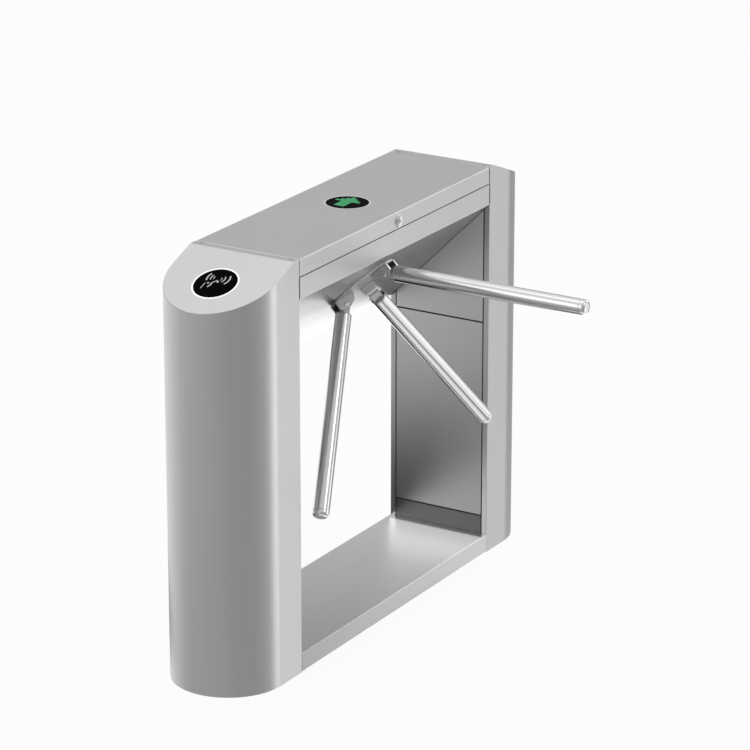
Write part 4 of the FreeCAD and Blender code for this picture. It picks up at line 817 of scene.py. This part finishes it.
# ---------------------------------------------------------------------------
# Inside and underneath: zinc-plated plates, machined castings, wound coils,
# circuit board and supply, as bought or cut for the mechanism and screwed down.
# ---------------------------------------------------------------------------
inner_finish = {
    "mechanism_zinc": plain_finish("zinc_plating", (0.55, 0.56, 0.55), 0.9, 0.38, 120),
    "casting_grey": plain_finish("machined_casting", (0.32, 0.32, 0.33), 0.6, 0.5, 300),
    "coil_dark": plain_finish("coil_case", (0.05, 0.05, 0.06), 0.1, 0.4, 200),
    "board_green": plain_finish("circuit_board", (0.03, 0.2, 0.08), 0.0, 0.4, 500),
    "supply_metal": plain_finish("supply_case", (0.6, 0.6, 0.6), 0.9, 0.35, 150),
    "housing_black": plain_finish("moulded_black", (0.03, 0.03, 0.03), 0.0, 0.45, 400),
    "bright_pin": lock_chrome,
    "cabinet_steel": head_steel,
    "hub_steel": satin_steel,
}
slot_of = {part["node"]: part["material_slot"] for part in frame["record"]["subparts"]}
for name, item in frame["nodes"].items():
    if not item.hide_render and slot_of[name] in inner_finish:
        item.data.materials.clear()
        item.data.materials.append(inner_finish[slot_of[name]])

# ---------------------------------------------------------------------------
# Studio: pale floor, a room that is bright on the far side and dimmer behind
# the camera, a soft lamp overhead, lamps that only the polished arms or the
# plinth show, and the camera. The floor is pale where it is seen directly. The
# steel mirrors the room below it instead, and a painted shadow: a dark patch on
# the floor behind the gate that only the steel's reflections show.
# ---------------------------------------------------------------------------
FLOOR_BELOW = 0.0005
FLOOR_BRIGHT = 0.93
bpy.ops.mesh.primitive_plane_add(size=60, location=(0, 0, -FLOOR_BELOW))
floor = bpy.context.active_object
floor.name = "studio_floor"
pale = bpy.data.materials.new("pale_floor")
pale.use_nodes = True
tree = pale.node_tree
matt = tree.nodes["Principled BSDF"]
matt.inputs["Base Color"].default_value = (0.86, 0.86, 0.86, 1)
matt.inputs["Roughness"].default_value = 0.7
white = tree.nodes.new("ShaderNodeEmission")
path = tree.nodes.new("ShaderNodeLightPath")
share = tree.nodes.new("ShaderNodeMath")
share.operation = "MULTIPLY"
share.inputs[1].default_value = FLOOR_BRIGHT
backed = tree.nodes.new("ShaderNodeMixShader")
tree.links.new(path.outputs["Is Camera Ray"], share.inputs[0])
tree.links.new(share.outputs[0], backed.inputs["Fac"])
tree.links.new(matt.outputs["BSDF"], backed.inputs[1])
tree.links.new(white.outputs["Emission"], backed.inputs[2])
open_floor = tree.nodes.new("ShaderNodeBsdfTransparent")
on_floor = tree.nodes.new("ShaderNodeTexCoord")
behind = tree.nodes.new("ShaderNodeMapping")
behind.vector_type = "TEXTURE"
behind.inputs["Location"].default_value = (0.05, 0.30, 0.0)
behind.inputs["Scale"].default_value = (0.75, 0.5, 1.0)
shade = tree.nodes.new("ShaderNodeTexGradient")
shade.gradient_type = "SPHERICAL"
deep = tree.nodes.new("ShaderNodeMapRange")
deep.interpolation_type = "SMOOTHSTEP"
deep.inputs["From Max"].default_value = 0.6
# painted shadow: a dark patch on the floor behind the gate, which only the steel's glossy reflections show
painted_floor_shadow = tree.nodes.new("ShaderNodeMix")
painted_floor_shadow.data_type = "RGBA"
painted_floor_shadow.inputs["A"].default_value = (1, 1, 1, 1)
painted_floor_shadow.inputs["B"].default_value = (0.02, 0.02, 0.02, 1)
tree.links.new(on_floor.outputs["Object"], behind.inputs["Vector"])
tree.links.new(behind.outputs["Vector"], shade.inputs["Vector"])
tree.links.new(shade.outputs["Fac"], deep.inputs["Value"])
tree.links.new(deep.outputs["Result"], painted_floor_shadow.inputs["Factor"])
tree.links.new(painted_floor_shadow.outputs["Result"], open_floor.inputs["Color"])
mirrored = tree.nodes.new("ShaderNodeMixShader")
tree.links.new(path.outputs["Is Glossy Ray"], mirrored.inputs["Fac"])
tree.links.new(backed.outputs["Shader"], mirrored.inputs[1])
tree.links.new(open_floor.outputs["BSDF"], mirrored.inputs[2])
tree.links.new(mirrored.outputs["Shader"], tree.nodes["Material Output"].inputs["Surface"])
floor.data.materials.append(pale)


def round_ramp(tree, source, stops):
    """Brightness round the room: stops of (heading in degrees, brightness)."""
    ramp = tree.nodes.new("ShaderNodeValToRGB")
    ramp.color_ramp.interpolation = "EASE"
    while len(ramp.color_ramp.elements) < len(stops):
        ramp.color_ramp.elements.new(0.5)
    for element, (heading, bright) in zip(ramp.color_ramp.elements, stops):
        element.position = (heading + 180) / 360
        element.color = (bright, bright, bright, 1)
    tree.links.new(source, ramp.inputs["Fac"])
    return ramp.outputs["Color"]


world = bpy.data.worlds.new("studio_world")
bpy.context.scene.world = world
world.use_nodes = True
tree = world.node_tree
room = tree.nodes["Background"]
sight = tree.nodes.new("ShaderNodeTexCoord")
parts = tree.nodes.new("ShaderNodeSeparateXYZ")
heading = tree.nodes.new("ShaderNodeMath")
heading.operation = "ARCTAN2"
turn = tree.nodes.new("ShaderNodeMapRange")
turn.inputs["From Min"].default_value = -math.pi
turn.inputs["From Max"].default_value = math.pi
tree.links.new(sight.outputs["Generated"], parts.inputs["Vector"])
tree.links.new(parts.outputs["Y"], heading.inputs[0])
tree.links.new(parts.outputs["X"], heading.inputs[1])
tree.links.new(heading.outputs[0], turn.inputs["Value"])
low_room = round_ramp(tree, turn.outputs["Result"],
                      ((-180, 0.44), (-150, 0.38), (-105, 0.37), (-68, 0.5), (-56, 0.62),
                       (-48, 1.8), (-40, 1.9), (-32, 0.5), (-20, 0.3), (10, 0.5), (40, 1.05),
                       (70, 0.95), (100, 0.78), (125, 0.6), (160, 0.5), (180, 0.43)))
high_room = round_ramp(tree, turn.outputs["Result"],
                       ((-180, 0.6), (-140, 0.45), (-60, 0.55), (-36, 0.8), (-22, 2.4), (-8, 0.9),
                        (12, 0.5), (40, 0.55), (80, 0.6), (98, 0.1), (122, 0.1), (136, 1.3),
                        (155, 1.5)))
floor_glow = round_ramp(tree, turn.outputs["Result"],
                        ((-180, 0.4), (-110, 0.3), (-45, 0.3), (-25, 0.6), (-8, 2.2), (22, 2.2),
                         (50, 1.6), (85, 0.5), (120, 0.2), (180, 0.3)))
under_room = round_ramp(tree, turn.outputs["Result"],
                        ((-180, 1.0), (-60, 1.05), (10, 1.2), (50, 1.1), (68, 0.1), (105, 0.05),
                         (135, 0.8), (180, 1.0)))
ceiling = round_ramp(tree, turn.outputs["Result"],
                     ((-180, 0.6), (-90, 0.7), (0, 0.95), (90, 1.0), (180, 0.6)))


def by_height(tree, start, stop, lower, upper):
    """Blend two parts of the room between two heights of the line of sight."""
    rise = tree.nodes.new("ShaderNodeMapRange")
    rise.inputs["From Min"].default_value = start
    rise.inputs["From Max"].default_value = stop
    blend = tree.nodes.new("ShaderNodeMix")
    blend.data_type = "RGBA"
    tree.links.new(parts.outputs["Z"], rise.inputs["Value"])
    tree.links.new(rise.outputs["Result"], blend.inputs["Factor"])
    tree.links.new(lower, blend.inputs["A"])
    tree.links.new(upper, blend.inputs["B"])
    return blend.outputs["Result"]


walls = by_height(tree, -0.05, 0.15, low_room, high_room)
walls = by_height(tree, -0.50, -0.40, floor_glow, walls)
walls = by_height(tree, -0.80, -0.62, under_room, walls)
walls = by_height(tree, 0.50, 0.70, walls, ceiling)
tree.links.new(walls, room.inputs["Color"])
clear = tree.nodes.new("ShaderNodeBackground")
clear.inputs["Color"].default_value = (1, 1, 1, 1)
path = tree.nodes.new("ShaderNodeLightPath")
blend = tree.nodes.new("ShaderNodeMixShader")
tree.links.new(path.outputs["Is Camera Ray"], blend.inputs["Fac"])
tree.links.new(room.outputs["Background"], blend.inputs[1])
tree.links.new(clear.outputs["Background"], blend.inputs[2])
tree.links.new(blend.outputs["Shader"], tree.nodes["World Output"].inputs["Surface"])


def soft_lamp(name, place, aim, width, height, brightness):
    """A rectangular soft box; its brightness is what steel shows of it."""
    lamp = bpy.data.lights.new(name, "AREA")
    lamp.shape = "RECTANGLE"
    lamp.size = width
    lamp.size_y = height
    lamp.energy = brightness * math.pi * width * height
    made = bpy.data.objects.new(name, lamp)
    bpy.context.scene.collection.objects.link(made)
    made.location = place
    made.rotation_euler = (Vector(aim) - Vector(place)).to_track_quat("-Z", "Y").to_euler()
    made.visible_camera = False
    return made


soft_lamp("overhead_lamp", (-0.3, 0.2, 5.5), (0, 0, 0.5), 3.0, 3.0, 0.7)
tubes_only = bpy.data.collections.new("arm_light")
for tag in ARM_TURNS:
    tubes_only.objects.link(bpy.data.objects["arm_tube_%s_polished" % tag])
    tubes_only.objects.link(bpy.data.objects["arm_cap_%s_rounded" % tag])
for name, place, size, brightness in (("arm_lamp_low", (0.5, -1.2, 0.28), 0.75, 0.6),
                                      ("arm_lamp_high", (0.25, -2.66, 2.48), 0.9, 2.2)):
    arm_lamp = soft_lamp(name, place, (0, -0.4, 0.55), size, size, brightness)
    arm_lamp.light_linking.receiver_collection = tubes_only
plinth_only = bpy.data.collections.new("plinth_light")
plinth_only.objects.link(bpy.data.objects["plinth_channel"])
plinth_lamp = soft_lamp("plinth_lamp", (0.41, 0.0, 0.105), (-0.4, 0.0, 0.105), 0.26, 0.11, 0.579)
plinth_lamp.light_linking.receiver_collection = plinth_only

lens = bpy.data.cameras.new("camera")
lens.sensor_width = 36.0
lens.lens = 181.84
camera = bpy.data.objects.new("camera", lens)
bpy.context.scene.collection.objects.link(camera)
camera.location = (-7.104, -4.337, 3.465)
yaw, pitch = 0.5405, 0.3356
aim = Vector((math.cos(pitch) * math.cos(yaw), math.cos(pitch) * math.sin(yaw), -math.sin(pitch)))
camera.rotation_euler = aim.to_track_quat("-Z", "Y").to_euler()
lens.clip_end = 100
bpy.context.scene.camera = camera
bpy.context.scene.view_settings.view_transform = "Standard"
